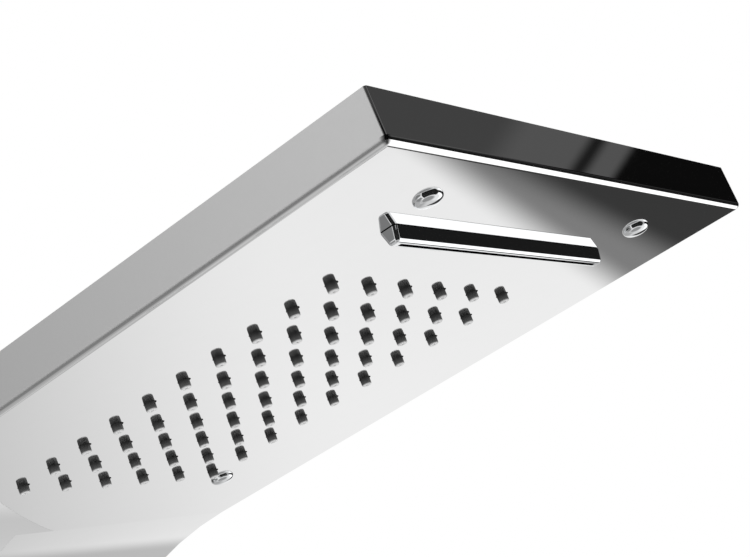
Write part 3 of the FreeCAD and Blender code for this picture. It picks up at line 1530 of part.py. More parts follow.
# ---- hand-shower outlet and holder --------------------------------------------------------

outlet_turn_y = face - size("outlet_reach")
outlet_tail_y = hose_y + size("outlet_neck_diameter") / 2
outlet_leg_end = outlet_z - size("outlet_drop_length")


def make_hand_shower_outlet():
    """Chrome elbow: a neck through the face, a threaded leg down and a spigot up inside."""
    level = {"x": hand_x, "z": outlet_z}
    neck = size("outlet_neck_diameter")
    leg = {"x": hand_x, "y": outlet_turn_y}
    thread_top = outlet_leg_end + size("outlet_thread_length")
    parts = [
        rod("outlet_plate", "Y", size("outlet_plate_diameter"), (face - size("outlet_plate_height"), face),
            **level),
        rod("outlet_neck", "Y", neck, (outlet_turn_y, outlet_tail_y), **level),
        ball("outlet_knuckle", neck / 2, y=outlet_turn_y, **level),
        rod("outlet_leg", "Z", neck, (thread_top, outlet_z), **leg),
        rod("outlet_thread", "Z", size("outlet_thread_diameter"), (outlet_leg_end, thread_top), **leg),
        rod("outlet_tail", "Z", spigot_diameter, (outlet_z, outlet_z + size("outlet_tail_length")),
            x=hand_x, y=hose_y),
    ]
    bores = [
        rod("outlet_leg_bore", "Z", size("outlet_bore"), (outlet_leg_end, outlet_z), **leg),
        ball("outlet_knuckle_bore", size("outlet_bore") / 2, y=outlet_turn_y, **level),
        rod("outlet_neck_bore", "Y", size("outlet_bore"), (outlet_turn_y, hose_y), **level),
        rod("outlet_tail_bore", "Z", size("spigot_bore"), (outlet_z, outlet_z + size("outlet_tail_length")),
            x=hand_x, y=hose_y),
    ]
    return cut("hand_shower_outlet", fuse("outlet_casting", *parts), *bores)


def make_outlet_nut():
    span = (face_inside, face_inside + size("outlet_nut_height"))
    blank = hexagon("outlet_nut_blank", "Y", size("outlet_nut_across"), span, x=hand_x, z=outlet_z)
    hole = rod("outlet_nut_hole", "Y", size("outlet_neck_diameter"), span, x=hand_x, z=outlet_z)
    return cut("outlet_nut", blank, hole)


holder_front = face - size("holder_plate_height")
holder_pivot_y = face - size("holder_pivot_reach")
cradle_y = holder_pivot_y - size("cradle_reach")


def make_holder_base():
    """Round plate with a forked arm, screwed to the face from behind."""
    level = {"x": hand_x, "z": holder_z}
    arm_half = size("holder_arm_diameter") / 2
    plate = rod("holder_plate", "Y", size("holder_plate_diameter"), (holder_front, face), **level)
    arm_span = (holder_pivot_y - arm_half, holder_front)
    arm = rod("holder_arm", "Y", size("holder_arm_diameter"), arm_span, **level)
    tongue_half = size("cradle_tongue") / 2 + size("fit_gap")
    slot = block(
        "holder_fork", (hand_x - tongue_half, hand_x + tongue_half),
        (holder_pivot_y - arm_half, holder_pivot_y + arm_half + size("fit_gap")),
        (holder_z - arm_half, holder_z + arm_half),
    )
    pin_way = rod("holder_pin_way", "X", size("holder_pin_diameter"), (hand_x - arm_half, hand_x + arm_half),
                  y=holder_pivot_y, z=holder_z)
    screw_way = rod("holder_screw_way", "Y", size("holder_screw_shank"), (holder_front, face), **level)
    return cut("holder_base", fuse("holder_solid", plate, arm), slot, pin_way, screw_way)


def make_holder_pin():
    arm_half = size("holder_arm_diameter") / 2
    return rod("holder_pin", "X", size("holder_pin_diameter"), (hand_x - arm_half, hand_x + arm_half),
               y=holder_pivot_y, z=holder_z)


def make_holder_cradle():
    """Split taper socket for a hand shower, on a tongue that tilts in the fork."""
    half_height = size("cradle_height") / 2
    upright = {"x": hand_x, "y": cradle_y}
    span = (holder_z - half_height, holder_z + half_height)
    wide = size("cradle_bore")
    narrow = wide - size("cradle_taper")
    wall = 2 * size("cradle_wall")
    cup = taper("cradle_cup", "Z", (narrow + wall, wide + wall), span, **upright)
    tongue_half = size("cradle_tongue") / 2
    across = (hand_x - tongue_half, hand_x + tongue_half)
    eye_diameter = size("holder_arm_diameter")
    eye = rod("cradle_eye", "X", eye_diameter, across, y=holder_pivot_y, z=holder_z)
    web = block("cradle_web", across, (cradle_y, holder_pivot_y),
                (holder_z - size("cradle_tongue"), holder_z + size("cradle_tongue")))
    bore = taper("cradle_bore_way", "Z", (narrow, wide), span, **upright)
    mouth_half = size("cradle_mouth") / 2
    mouth = block("cradle_mouth_way", (hand_x - mouth_half, hand_x + mouth_half),
                  (cradle_y - wide, cradle_y), span)
    eye_hole = rod("cradle_eye_way", "X", size("holder_pin_diameter") + 2 * size("running_gap"), across,
                   y=holder_pivot_y, z=holder_z)
    return cut("holder_cradle", fuse("cradle_solid", cup, eye, web), bore, mouth, eye_hole)


def make_holder_screw():
    level = {"x": hand_x, "z": holder_z}
    head = rod("holder_screw_head", "Y", size("holder_screw_head"),
               (face_inside, face_inside + size("holder_screw_head_height")), **level)
    shank = rod("holder_screw_shank", "Y", size("holder_screw_shank"), (holder_front, face_inside), **level)
    return fuse("holder_screw", head, shank)


# ---- wall brackets --------------------------------------------------------------------------

bracket_hole_x = size("bracket_screw_spacing") / 2


def bracket_holes(body, name, z):
    holes = new_sketch(body, f"{name}_holes", "XZ_Plane")
    for x in both_sides(bracket_hole_x):
        circle(holes, x, z, size("bracket_hole"))
    pocket_through(body, holes)


def make_upper_wall_bracket():
    """Folded strip on the wall: a shelf with an upturned lip that the panel hangs from."""
    body = new_body("upper_wall_bracket")
    gauge = size("bracket_gauge")
    shelf = size("bracket_shelf_rise")
    reach = -size("bracket_shelf")
    side = new_sketch(body, "bracket_side", "YZ_Plane")
    outline(side, [
        (ZERO, -size("bracket_half_height")), (ZERO, shelf + gauge), (reach + gauge, shelf + gauge),
        (reach + gauge, shelf + size("bracket_lip")), (reach, shelf + size("bracket_lip")),
        (reach, shelf), (-gauge, shelf), (-gauge, -size("bracket_half_height")),
    ])
    pad(body, side, size("bracket_width"), symmetric=True)
    bracket_holes(body, "upper_bracket", ZERO)
    return body


def make_upper_hanger_bar():
    """Folded bar welded across the shell; its lip drops behind the bracket's lip."""
    body = new_body("upper_hanger_bar")
    gauge = size("bracket_gauge")
    seat = size("bracket_shelf_rise") + size("bracket_lip")
    web = -size("hanger_web_set")
    lip = -size("hanger_lip_set")
    web_foot = seat + gauge - size("hanger_web_height")
    lip_foot = seat + gauge - size("hanger_lip_height")
    side = new_sketch(body, "hanger_side", "YZ_Plane")
    outline(side, [
        (web, web_foot), (web + gauge, web_foot), (web + gauge, seat), (lip - gauge, seat),
        (lip - gauge, lip_foot), (lip, lip_foot), (lip, seat + gauge), (web, seat + gauge),
    ])
    pad(body, side, 2 * inner_half_width, symmetric=True)
    return body


ear_outside = inner_half_width - size("fit_gap")
lock_screw_y = -size("lock_screw_set")


def make_lower_wall_bracket():
    """Flat strip on the wall with an ear at each end for the side screws."""
    half = size("ear_height") / 2
    gauge = size("bracket_gauge")
    span = (lower_bracket_z - half, lower_bracket_z + half)
    strip = block("lower_strip", both_sides(ear_outside), (-gauge, ZERO), span)
    parts = [strip]
    tools = []
    ears = {"left": (-ear_outside, -ear_outside + gauge), "right": (ear_outside - gauge, ear_outside)}
    for side, x in ears.items():
        parts.append(block(f"lower_{side}_ear", x, (-size("ear_depth"), ZERO), span))
        tools.append(rod(f"lower_{side}_thread", "X", size("lock_screw_shank"), x,
                         y=lock_screw_y, z=lower_bracket_z))
    for side, x in zip(("left", "right"), both_sides(bracket_hole_x)):
        tools.append(rod(f"lower_{side}_hole", "Y", size("bracket_hole"), (-gauge, ZERO),
                         x=x, z=lower_bracket_z))
    return cut("lower_wall_bracket", fuse("lower_bracket_solid", *parts), *tools)


def make_bracket_lock_screws():
    screws = []
    centre = {"y": lock_screw_y, "z": lower_bracket_z}
    head = size("lock_screw_head_height")
    length = size("lock_screw_length")
    spans = (
        ("left", (-half_width - head, -half_width), (-half_width, -half_width + length)),
        ("right", (half_width, half_width + head), (half_width - length, half_width)),
    )
    for side, head_span, shank_span in spans:
        name = f"lock_screw_{side}"
        cap = rod(f"{name}_head", "X", size("lock_screw_head"), head_span, **centre)
        shank = rod(f"{name}_shank", "X", size("lock_screw_shank"), shank_span, **centre)
        screws.append(fuse(name, cap, shank))
    return group("bracket_lock_screws", screws)


# ---- the whole panel ----------------------------------------------------------------------


def make_column():
    """Every piece of the shower panel, one object for each node."""
    jet_feed_hose, jet_link_hoses = make_jet_hoses()
    pieces = [
        make_panel_shell(), make_head_top_cover(), make_cover_screws(),
        make_water_box(), make_nozzle_mat(), make_waterfall_gasket(), make_waterfall_spout(),
        make_spout_screws(), make_head_screws(), make_head_screw_nuts(), make_waterfall_inlet_elbow(),
        make_rain_feed_hose(), make_waterfall_feed_hose(), make_hand_shower_feed_hose(),
        jet_feed_hose, jet_link_hoses, make_hose_clamps(),
        make_mixer_body(), make_clamp_nut("mixer_clamp_nut", size("mixer_neck_diameter"), mixer_z),
        make_escutcheon("mixer_escutcheon", 2 * size("dome_radius") + size("fit_gap"), mixer_z),
        make_mixer_cartridge(),
        ring("cartridge_nut", "Y", size("cartridge_diameter"), size("turret_diameter") + 2 * size("fit_gap"),
             (mixer_neck_end, cartridge_front), x=ZERO, z=mixer_z),
        make_mixer_turret(), make_mixer_stem(), make_mixer_dome(), make_mixer_handle(),
        rod("stem_pin", "X", size("stem_pin_diameter"), both_sides(turret_pin_half), y=pivot_y, z=mixer_z),
        make_grub("handle_set_screw", mixer_z + size("stem_width") / 2, x=ZERO, y=handle_grub_y),
        make_handle_plug(), make_supply_pipe(),
        make_diverter_body(),
        make_clamp_nut("diverter_clamp_nut", size("diverter_neck_diameter"), diverter_z),
        make_escutcheon("diverter_escutcheon", size("diverter_neck_diameter") + size("fit_gap"), diverter_z),
        make_diverter_cartridge(), make_gland_nut(), make_diverter_spindle(), make_diverter_disc(),
        make_diverter_knob(),
        make_grub("knob_set_screw", diverter_z + size("spindle_diameter") / 2, x=ZERO, y=knob_grub_y),
        make_jet_gaskets(), make_jet_screws(),
        make_hand_shower_outlet(), make_outlet_nut(),
        make_holder_base(), make_holder_pin(), make_holder_cradle(), make_holder_screw(),
        make_upper_wall_bracket(), make_upper_hanger_bar(), make_lower_wall_bracket(),
        make_bracket_lock_screws(),
    ]
    for number, z in enumerate(jet_places, start=1):
        pieces.append(make_jet_frame(f"jet_{number}_frame", z))
        pieces.append(make_jet_roller(f"jet_{number}_roller", z))
        pieces.append(make_jet_housing(f"jet_{number}_housing", z, is_top=number == 1))
    return pieces


def check(pieces):
    """Stop if any object failed, or if a piece has no sound shape."""
    failed = [item.Name for item in doc.Objects if {"Invalid", "Error"} & set(item.State)]
    unsound = [item.Label for item in pieces if item.Shape.isNull() or not item.Shape.isValid()]
    if failed or unsound:
        raise RuntimeError(f"failed objects: {failed}; unsound shapes: {unsound}")


column = make_column()
doc.recompute()
check(column)
os.makedirs("parts", exist_ok=True)
for piece in column:
    piece.Shape.exportStep(f"parts/{piece.Label}.step")
print(f"{len(column)} nodes written")
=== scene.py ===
"""Looks of the shower panel column: its finishes, finer nozzles and screws, studio and camera."""

import logging
import math
from dataclasses import dataclass
from enum import Enum
from typing import Callable, Iterator, Sequence, Tuple

import bmesh
import bpy
from mathutils import Matrix, Vector


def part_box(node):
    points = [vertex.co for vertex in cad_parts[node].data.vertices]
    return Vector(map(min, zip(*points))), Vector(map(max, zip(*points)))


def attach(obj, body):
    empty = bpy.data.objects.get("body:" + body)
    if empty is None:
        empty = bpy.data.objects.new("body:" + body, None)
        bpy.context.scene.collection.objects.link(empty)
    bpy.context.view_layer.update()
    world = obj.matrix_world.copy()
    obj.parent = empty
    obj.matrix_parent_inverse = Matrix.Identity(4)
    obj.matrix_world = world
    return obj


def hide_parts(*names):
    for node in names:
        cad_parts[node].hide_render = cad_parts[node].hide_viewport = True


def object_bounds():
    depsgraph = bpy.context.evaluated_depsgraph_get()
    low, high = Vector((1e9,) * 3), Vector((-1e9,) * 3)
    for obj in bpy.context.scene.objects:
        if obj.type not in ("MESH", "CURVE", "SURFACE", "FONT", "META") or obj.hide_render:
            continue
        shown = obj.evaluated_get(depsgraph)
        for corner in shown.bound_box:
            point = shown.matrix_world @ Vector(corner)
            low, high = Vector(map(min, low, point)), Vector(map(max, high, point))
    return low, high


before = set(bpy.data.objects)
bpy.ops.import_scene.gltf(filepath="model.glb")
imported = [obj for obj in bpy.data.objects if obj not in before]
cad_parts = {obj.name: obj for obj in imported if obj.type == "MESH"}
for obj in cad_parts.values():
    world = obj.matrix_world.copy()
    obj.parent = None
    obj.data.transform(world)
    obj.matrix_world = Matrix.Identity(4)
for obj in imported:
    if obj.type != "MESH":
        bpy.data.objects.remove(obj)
CAD_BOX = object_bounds()

LOG = logging.getLogger("shower_panel")

Colour = Tuple[float, float, float]
Ring = Sequence[bmesh.types.BMVert]
MM = 0.001
DOWN = Vector((0.0, 0.0, -1.0))
# The Mix node's sockets for colours: factor, first colour and second colour, and the result.
MIX_COLOUR_INPUTS = (0, 6, 7)
MIX_COLOUR_OUTPUT = 2
# Faces that meet at more than this show an edge.
SHARP_ANGLE = math.radians(38.0)


def grey(level: float) -> Colour:
    """A neutral linear colour of one level."""
    return (level, level, level)


# ---- node helpers ---------------------------------------------------------------------------


@dataclass
class NodeCanvas:
    """A node tree with short ways to add and join nodes."""

    tree: bpy.types.NodeTree

    def add(self, kind: str, **settings: object) -> bpy.types.Node:
        """Add a node and set its properties.

        Args:
            kind: Blender's name of the node type.
            **settings: Properties of the node to set.

        Returns:
            The new node.
        """
        node = self.tree.nodes.new(kind)
        for name, value in settings.items():
            setattr(node, name, value)
        return node

    def feed(self, socket: bpy.types.NodeSocket, value: object) -> None:
        """Link a socket to another socket, or set it to a plain value.

        Args:
            socket: The input to fill.
            value: An output socket, a number, or a colour or vector.
        """
        if isinstance(value, bpy.types.NodeSocket):
            self.tree.links.new(value, socket)
        elif isinstance(value, tuple) and socket.type == "RGBA" and len(value) == 3:
            socket.default_value = (*value, 1.0)
        else:
            socket.default_value = value

    def math(self, operation: str, *values: object, clamp: bool = False) -> bpy.types.NodeSocket:
        """Combine values with a Math node.

        Args:
            operation: Blender's name of the operation.
            *values: Numbers or output sockets, in the node's order.
            clamp: Whether the result is kept within 0 to 1.

        Returns:
            The node's output.
        """
        node = self.add("ShaderNodeMath", operation=operation, use_clamp=clamp)
        for socket, value in zip(node.inputs, values):
            self.feed(socket, value)
        return node.outputs[0]

    def ramp(self, value: object, low: float, high: float) -> bpy.types.NodeSocket:
        """Map a value from low..high to 0..1, with eased ends.

        Args:
            value: The value to map.
            low: Where the result is 0.
            high: Where the result is 1, which may be below low.

        Returns:
            The mapped value.
        """
        node = self.add("ShaderNodeMapRange", interpolation_type="SMOOTHSTEP")
        self.feed(node.inputs["Value"], value)
        node.inputs["From Min"].default_value = low
        node.inputs["From Max"].default_value = high
        return node.outputs["Result"]

    def mix(self, factor: object, first: object, second: object) -> bpy.types.NodeSocket:
        """Blend two colours.

        Args:
            factor: 0 for the first colour, 1 for the second.
            first: The first colour.
            second: The second colour.

        Returns:
            The blended colour.
        """
        node = self.add("ShaderNodeMix", data_type="RGBA")
        factor_socket, first_socket, second_socket = (node.inputs[place] for place in MIX_COLOUR_INPUTS)
        self.feed(factor_socket, factor)
        self.feed(first_socket, first)
        self.feed(second_socket, second)
        return node.outputs[MIX_COLOUR_OUTPUT]

    def split(self, vector: object) -> bpy.types.Node:
        """Separate a vector into its coordinates.

        Args:
            vector: The vector to separate.

        Returns:
            The node, with outputs X, Y and Z.
        """
        node = self.add("ShaderNodeSeparateXYZ")
        self.feed(node.inputs[0], vector)
        return node

    def combine(self, operation: str, *vectors: object) -> bpy.types.NodeSocket:
        """Combine vectors with a Vector Math node.

        Args:
            operation: Blender's name of the operation.
            *vectors: Vectors or output sockets, in the node's order.

        Returns:
            The node's output.
        """
        node = self.add("ShaderNodeVectorMath", operation=operation)
        for socket, vector in zip(node.inputs, vectors):
            self.feed(socket, vector)
        return node.outputs[0]

    def noise(self, vector: object, scale: float, detail: float) -> bpy.types.NodeSocket:
        """Noise between 0 and 1 over a vector.

        Args:
            vector: Where the noise is read.
            scale: How closely its features lie.
            detail: How many finer layers it has.

        Returns:
            The noise value.
        """
        node = self.add("ShaderNodeTexNoise")
        self.feed(node.inputs["Vector"], vector)
        node.inputs["Scale"].default_value = scale
        node.inputs["Detail"].default_value = detail
        return node.outputs["Fac"]

    def bump(self, height: object, depth: float) -> bpy.types.NodeSocket:
        """Tilt the surface's normal by a height.

        Args:
            height: The height, as a share of the depth.
            depth: The depth of the marks, in metres.

        Returns:
            The tilted normal.
        """
        node = self.add("ShaderNodeBump")
        node.inputs["Distance"].default_value = depth
        self.feed(node.inputs["Height"], height)
        return node.outputs["Normal"]


# ---- shared effects -------------------------------------------------------------------------


@dataclass(frozen=True)
class EffectGroup:
    """A shader node group, built once, that several finishes place with their own values."""

    name: str
    inputs: Tuple[Tuple[str, str, object], ...]
    outputs: Tuple[Tuple[str, str], ...]
    fill: Callable[[NodeCanvas, bpy.types.Node, bpy.types.Node], None]

    def tree(self) -> bpy.types.NodeTree:
        """Build the group's node tree the first time it is asked for.

        Returns:
            The group's node tree.
        """
        known = bpy.data.node_groups.get(self.name)
        if known:
            return known
        tree = bpy.data.node_groups.new(self.name, "ShaderNodeTree")
        for name, kind, default in self.inputs:
            socket = tree.interface.new_socket(name, in_out="INPUT", socket_type=kind)
            if default is not None:
                socket.default_value = default
        for name, kind in self.outputs:
            tree.interface.new_socket(name, in_out="OUTPUT", socket_type=kind)
        canvas = NodeCanvas(tree)
        source = canvas.add("NodeGroupInput")
        result = canvas.add("NodeGroupOutput")
        self.fill(canvas, source, result)
        return tree

    def place(self, canvas: NodeCanvas, **values: object) -> bpy.types.Node:
        """Place the group in a material.

        Args:
            canvas: The material's nodes.
            **values: Values of the inputs, by their names without the capital.

        Returns:
            The group node.
        """
        node = canvas.add("ShaderNodeGroup", node_tree=self.tree())
        for name, value in values.items():
            canvas.feed(node.inputs[name.capitalize()], value)
        return node


def fill_smudges(canvas: NodeCanvas, source: bpy.types.Node, result: bpy.types.Node) -> None:
    """Uneven polish: broad cloudy patches broken up by a finer haze.

    Args:
        canvas: The group's nodes.
        source: The group's inputs.
        result: The group's outputs.
    """
    place = source.outputs["Position"]
    haze_share = 0.35
    broad = canvas.noise(place, scale=9.0, detail=2.0)
    fine = canvas.noise(place, scale=140.0, detail=4.0)
    cloud = canvas.ramp(broad, low=0.35, high=0.75)
    haze = canvas.math("MULTIPLY", canvas.ramp(fine, low=0.3, high=0.8), haze_share)
    total = canvas.math("ADD", canvas.math("MULTIPLY", cloud, 1.0 - haze_share), haze, clamp=True)
    canvas.feed(result.inputs["Mask"], canvas.math("MULTIPLY", total, source.outputs["Amount"]))


SMUDGES = EffectGroup(
    "polish_smudges",
    (("Position", "NodeSocketVector", None), ("Amount", "NodeSocketFloat", 1.0)),
    (("Mask", "NodeSocketFloat"),),
    fill_smudges,
)


def fill_grain(canvas: NodeCanvas, source: bpy.types.Node, result: bpy.types.Node) -> None:
    """Fine grain of a satin or moulded surface, stretched by the Stretch vector.

    Args:
        canvas: The group's nodes.
        source: The group's inputs.
        result: The group's outputs.
    """
    fine_share, coarse_share = 0.7, 0.3
    stretched = canvas.combine("MULTIPLY", source.outputs["Position"], source.outputs["Stretch"])
    fine = canvas.math("MULTIPLY", canvas.noise(stretched, scale=900.0, detail=5.0), fine_share)
    coarse = canvas.math("MULTIPLY", canvas.noise(stretched, scale=260.0, detail=2.0), coarse_share)
    canvas.feed(result.inputs["Height"], canvas.math("ADD", fine, coarse))


GRAIN = EffectGroup(
    "fine_grain",
    (("Position", "NodeSocketVector", None), ("Stretch", "NodeSocketVector", (1.0, 1.0, 1.0))),
    (("Height", "NodeSocketFloat"),),
    fill_grain,
)


def fill_hairlines(canvas: NodeCanvas, source: bpy.types.Node, result: bpy.types.Node) -> None:
    """Brushed or turned lines: long thin streaks of uneven depth, with a few deeper ones.

    Args:
        canvas: The group's nodes.
        source: The group's inputs.
        result: The group's outputs.
    """
    scratch_depth = 0.5
    stretched = canvas.combine("MULTIPLY", source.outputs["Position"], source.outputs["Stretch"])
    lines = canvas.noise(stretched, scale=1400.0, detail=3.0)
    scratches = canvas.ramp(canvas.noise(stretched, scale=420.0, detail=1.0), low=0.62, high=0.75)
    depth = canvas.math("SUBTRACT", lines, canvas.math("MULTIPLY", scratches, scratch_depth))
    canvas.feed(result.inputs["Height"], depth)


HAIRLINES = EffectGroup(
    "hairlines",
    (("Position", "NodeSocketVector", None), ("Stretch", "NodeSocketVector", (1.0, 1.0, 1.0))),
    (("Height", "NodeSocketFloat"),),
    fill_hairlines,
)


def fill_water_marks(canvas: NodeCanvas, source: bpy.types.Node, result: bpy.types.Node) -> None:
    """Dried drops: small round rings scattered thinly over a surface.

    Args:
        canvas: The group's nodes.
        source: The group's inputs.
        result: The group's outputs.
    """
    hollow, rim, outside = 0.16, 0.24, 0.30
    place = source.outputs["Position"]
    cells = canvas.add("ShaderNodeTexVoronoi")
    canvas.feed(cells.inputs["Vector"], place)
    cells.inputs["Scale"].default_value = 170.0
    distance = cells.outputs["Distance"]
    rise, fall = canvas.ramp(distance, hollow, rim), canvas.ramp(distance, outside, rim)
    ring = canvas.math("MULTIPLY", fall, rise)
    sparse = canvas.ramp(canvas.noise(place, scale=30.0, detail=1.0), low=0.55, high=0.7)
    marks = canvas.math("MULTIPLY", canvas.math("MULTIPLY", ring, sparse), source.outputs["Amount"])
    canvas.feed(result.inputs["Mask"], marks)


WATER_MARKS = EffectGroup(
    "water_marks",
    (("Position", "NodeSocketVector", None), ("Amount", "NodeSocketFloat", 1.0)),
    (("Mask", "NodeSocketFloat"),),
    fill_water_marks,
)


# ---- finishes -------------------------------------------------------------------------------


class Marks(Enum):
    """The marks that the making of a piece leaves on it."""

    NONE = "none"
    GRAIN = "grain"
    HAIRLINES = "hairlines"


@dataclass(frozen=True)
class Finish:
    """A surface finish made of one Principled shader and the effects around it.

    Smudge and drops roughen it in places, and drift darkens it in clouds. The depth of its marks
    is in metres."""

    name: str
    colour: Colour
    roughness: float
    metallic: float = 0.0
    smudge: float = 0.0
    marks: Marks = Marks.NONE
    mark_depth: float = 0.01 * MM
    mark_stretch: Tuple[float, float, float] = (1.0, 1.0, 1.0)
    drops: float = 0.0
    drift: float = 0.08
    coat: float = 0.0

    def start(self) -> Tuple[bpy.types.Material, NodeCanvas, bpy.types.Node]:
        """Make the material with its Principled shader and constants in place.

        Returns:
            The material, its nodes and its shader.
        """
        material = bpy.data.materials.new(self.name)
        material.use_nodes = True
        canvas = NodeCanvas(material.node_tree)
        shader = material.node_tree.nodes["Principled BSDF"]
        shader.inputs["Metallic"].default_value = self.metallic
        shader.inputs["Coat Weight"].default_value = self.coat
        canvas.feed(shader.inputs["Base Color"], self.colour)
        shader.inputs["Roughness"].default_value = self.roughness
        return material, canvas, shader

    def polish(self, canvas: NodeCanvas, place: bpy.types.NodeSocket) -> bpy.types.NodeSocket:
        """Roughness that varies with smudges and dried drops.

        Args:
            canvas: The material's nodes.
            place: The point on the object.

        Returns:
            The roughness.
        """
        marks = SMUDGES.place(canvas, position=place, amount=self.smudge)
        rough = canvas.math("ADD", self.roughness, marks.outputs["Mask"])
        if self.drops:
            drops = WATER_MARKS.place(canvas, position=place, amount=self.drops)
            rough = canvas.math("ADD", rough, drops.outputs["Mask"])
        return rough

    def tint(self, canvas: NodeCanvas, place: bpy.types.NodeSocket, colour: object) -> bpy.types.NodeSocket:
        """A colour that darkens a little in broad clouds.

        Args:
            canvas: The material's nodes.
            place: The point on the object.
            colour: The colour to vary.

        Returns:
            The varied colour.
        """
        clouds = SMUDGES.place(canvas, position=place, amount=self.drift)
        return canvas.mix(clouds.outputs["Mask"], colour, grey(0.0))

    def relief(self, canvas: NodeCanvas, place: bpy.types.NodeSocket) -> bpy.types.NodeSocket:
        """Normal of the marks that the making leaves.

        Args:
            canvas: The material's nodes.
            place: The point on the object.

        Returns:
            The normal.
        """
        group = HAIRLINES if self.marks is Marks.HAIRLINES else GRAIN
        lines = group.place(canvas, position=place, stretch=self.mark_stretch)
        return canvas.bump(lines.outputs["Height"], self.mark_depth)

    def fill(self, canvas: NodeCanvas, shader: bpy.types.Node) -> None:
        """Join the effects to the shader.

        Args:
            canvas: The material's nodes.
            shader: Its Principled shader.
        """
        place = canvas.add("ShaderNodeTexCoord").outputs["Object"]
        canvas.feed(shader.inputs["Base Color"], self.tint(canvas, place, self.colour))
        canvas.feed(shader.inputs["Roughness"], self.polish(canvas, place))
        if self.marks is not Marks.NONE:
            canvas.feed(shader.inputs["Normal"], self.relief(canvas, place))

    def build(self) -> bpy.types.Material:
        """Make the finished material the first time it is asked for.

        Returns:
            The material.
        """
        known = bpy.data.materials.get(self.name)
        if known:
            return known
        material, canvas, shader = self.start()
        self.fill(canvas, shader)
        return material


@dataclass(frozen=True)
class PolishedSheet(Finish):
    """Mirror-polished steel sheet whose side flanges keep a finely grained satin finish; their darker colour
    is painted shade.

    Where the side flanges meet the front one, a dark line of painted shade runs down the corner, standing
    for the dark reflection in the fold. Sizes are in metres: the corner's distance from the middle and from
    the wall, the widths of the painted shade along the corner and at its foot, and the heights between which
    the foot lies. The shade is full over full_share of its width. The satin fades in as the metal turns
    sideways, over side_facing."""

    # The flanges' darker colour is painted shade; their satin roughness and grain are real.
    flange_shade_colour: Colour = grey(0.62)
    flange_roughness: float = 0.3
    flange_grain: float = 0.1
    side_facing: Tuple[float, float] = (0.75, 0.97)
    corner: Tuple[float, float] = (0.0, 0.0)
    corner_width: float = 0.9 * MM
    foot_width: float = 2.4 * MM
    foot_span: Tuple[float, float] = (0.0, 0.0)
    foot_fade: Tuple[float, float] = (0.1 * MM, 0.2 * MM)
    full_share: float = 0.35
    # Level of the painted shade in the corner folds.
    corner_shade_level: float = 0.12

    def corner_shade_mask(self, canvas: NodeCanvas, parts: bpy.types.Node, width: float) -> bpy.types.NodeSocket:
        """Mask of the painted shade along the two upright corners at the front of the head.

        Args:
            canvas: The material's nodes.
            parts: The point's three coordinates.
            width: How far from the corner the mask reaches, in metres.

        Returns:
            1 on the corners and 0 elsewhere.
        """
        half_width, reach = self.corner
        across = canvas.math("SUBTRACT", half_width, canvas.math("ABSOLUTE", parts.outputs["X"]))
        along = canvas.math("ADD", parts.outputs["Y"], reach)
        near_side = canvas.ramp(across, width, self.full_share * width)
        near_front = canvas.ramp(along, width, self.full_share * width)
        return canvas.math("MULTIPLY", near_side, near_front)

    def painted_corner_shade(self, canvas: NodeCanvas, parts: bpy.types.Node) -> bpy.types.NodeSocket:
        """Mask of the painted corner shade, wider where the folds meet at their feet.

        Args:
            canvas: The material's nodes.
            parts: The point's three coordinates.

        Returns:
            1 where the shade is painted and 0 elsewhere.
        """
        low, high = self.foot_span
        fade_below, fade_above = self.foot_fade
        height = parts.outputs["Z"]
        rise = canvas.ramp(height, low - fade_below, low)
        foot = canvas.math("MULTIPLY", rise, canvas.ramp(height, high + fade_above, high))
        feet = canvas.math("MULTIPLY", self.corner_shade_mask(canvas, parts, self.foot_width), foot)
        return canvas.math("MAXIMUM", self.corner_shade_mask(canvas, parts, self.corner_width), feet)

    def fill(self, canvas: NodeCanvas, shader: bpy.types.Node) -> None:
        """Join the polished face, the satin flanges with their painted shade, and the painted corner shade to
        the shader.

        Args:
            canvas: The material's nodes.
            shader: Its Principled shader.
        """
        coords = canvas.add("ShaderNodeTexCoord")
        place = coords.outputs["Object"]
        sideways = canvas.math("ABSOLUTE", canvas.split(coords.outputs["Normal"]).outputs["X"])
        satin = canvas.ramp(sideways, *self.side_facing)
        corners = self.painted_corner_shade(canvas, canvas.split(place))
        # Painted shade: faces turned sideways get the darker flange colour.
        colour = canvas.mix(satin, self.colour, self.flange_shade_colour)
        # Painted shade: the corner folds and their feet are painted dark, standing for their dark reflection.
        colour = canvas.mix(corners, colour, grey(self.corner_shade_level))
        canvas.feed(shader.inputs["Base Color"], self.tint(canvas, place, colour))
        grain = GRAIN.place(canvas, position=place, stretch=self.mark_stretch)
        grained = canvas.math("MULTIPLY", grain.outputs["Height"], self.flange_grain)
        rough_satin = canvas.math("ADD", self.flange_roughness, grained)
        polished = self.polish(canvas, place)
        spread = canvas.math("MULTIPLY", satin, canvas.math("SUBTRACT", rough_satin, polished))
        canvas.feed(shader.inputs["Roughness"], canvas.math("ADD", polished, spread))
        height = canvas.math("MULTIPLY", grain.outputs["Height"], satin)
        canvas.feed(shader.inputs["Normal"], canvas.bump(height, self.mark_depth))


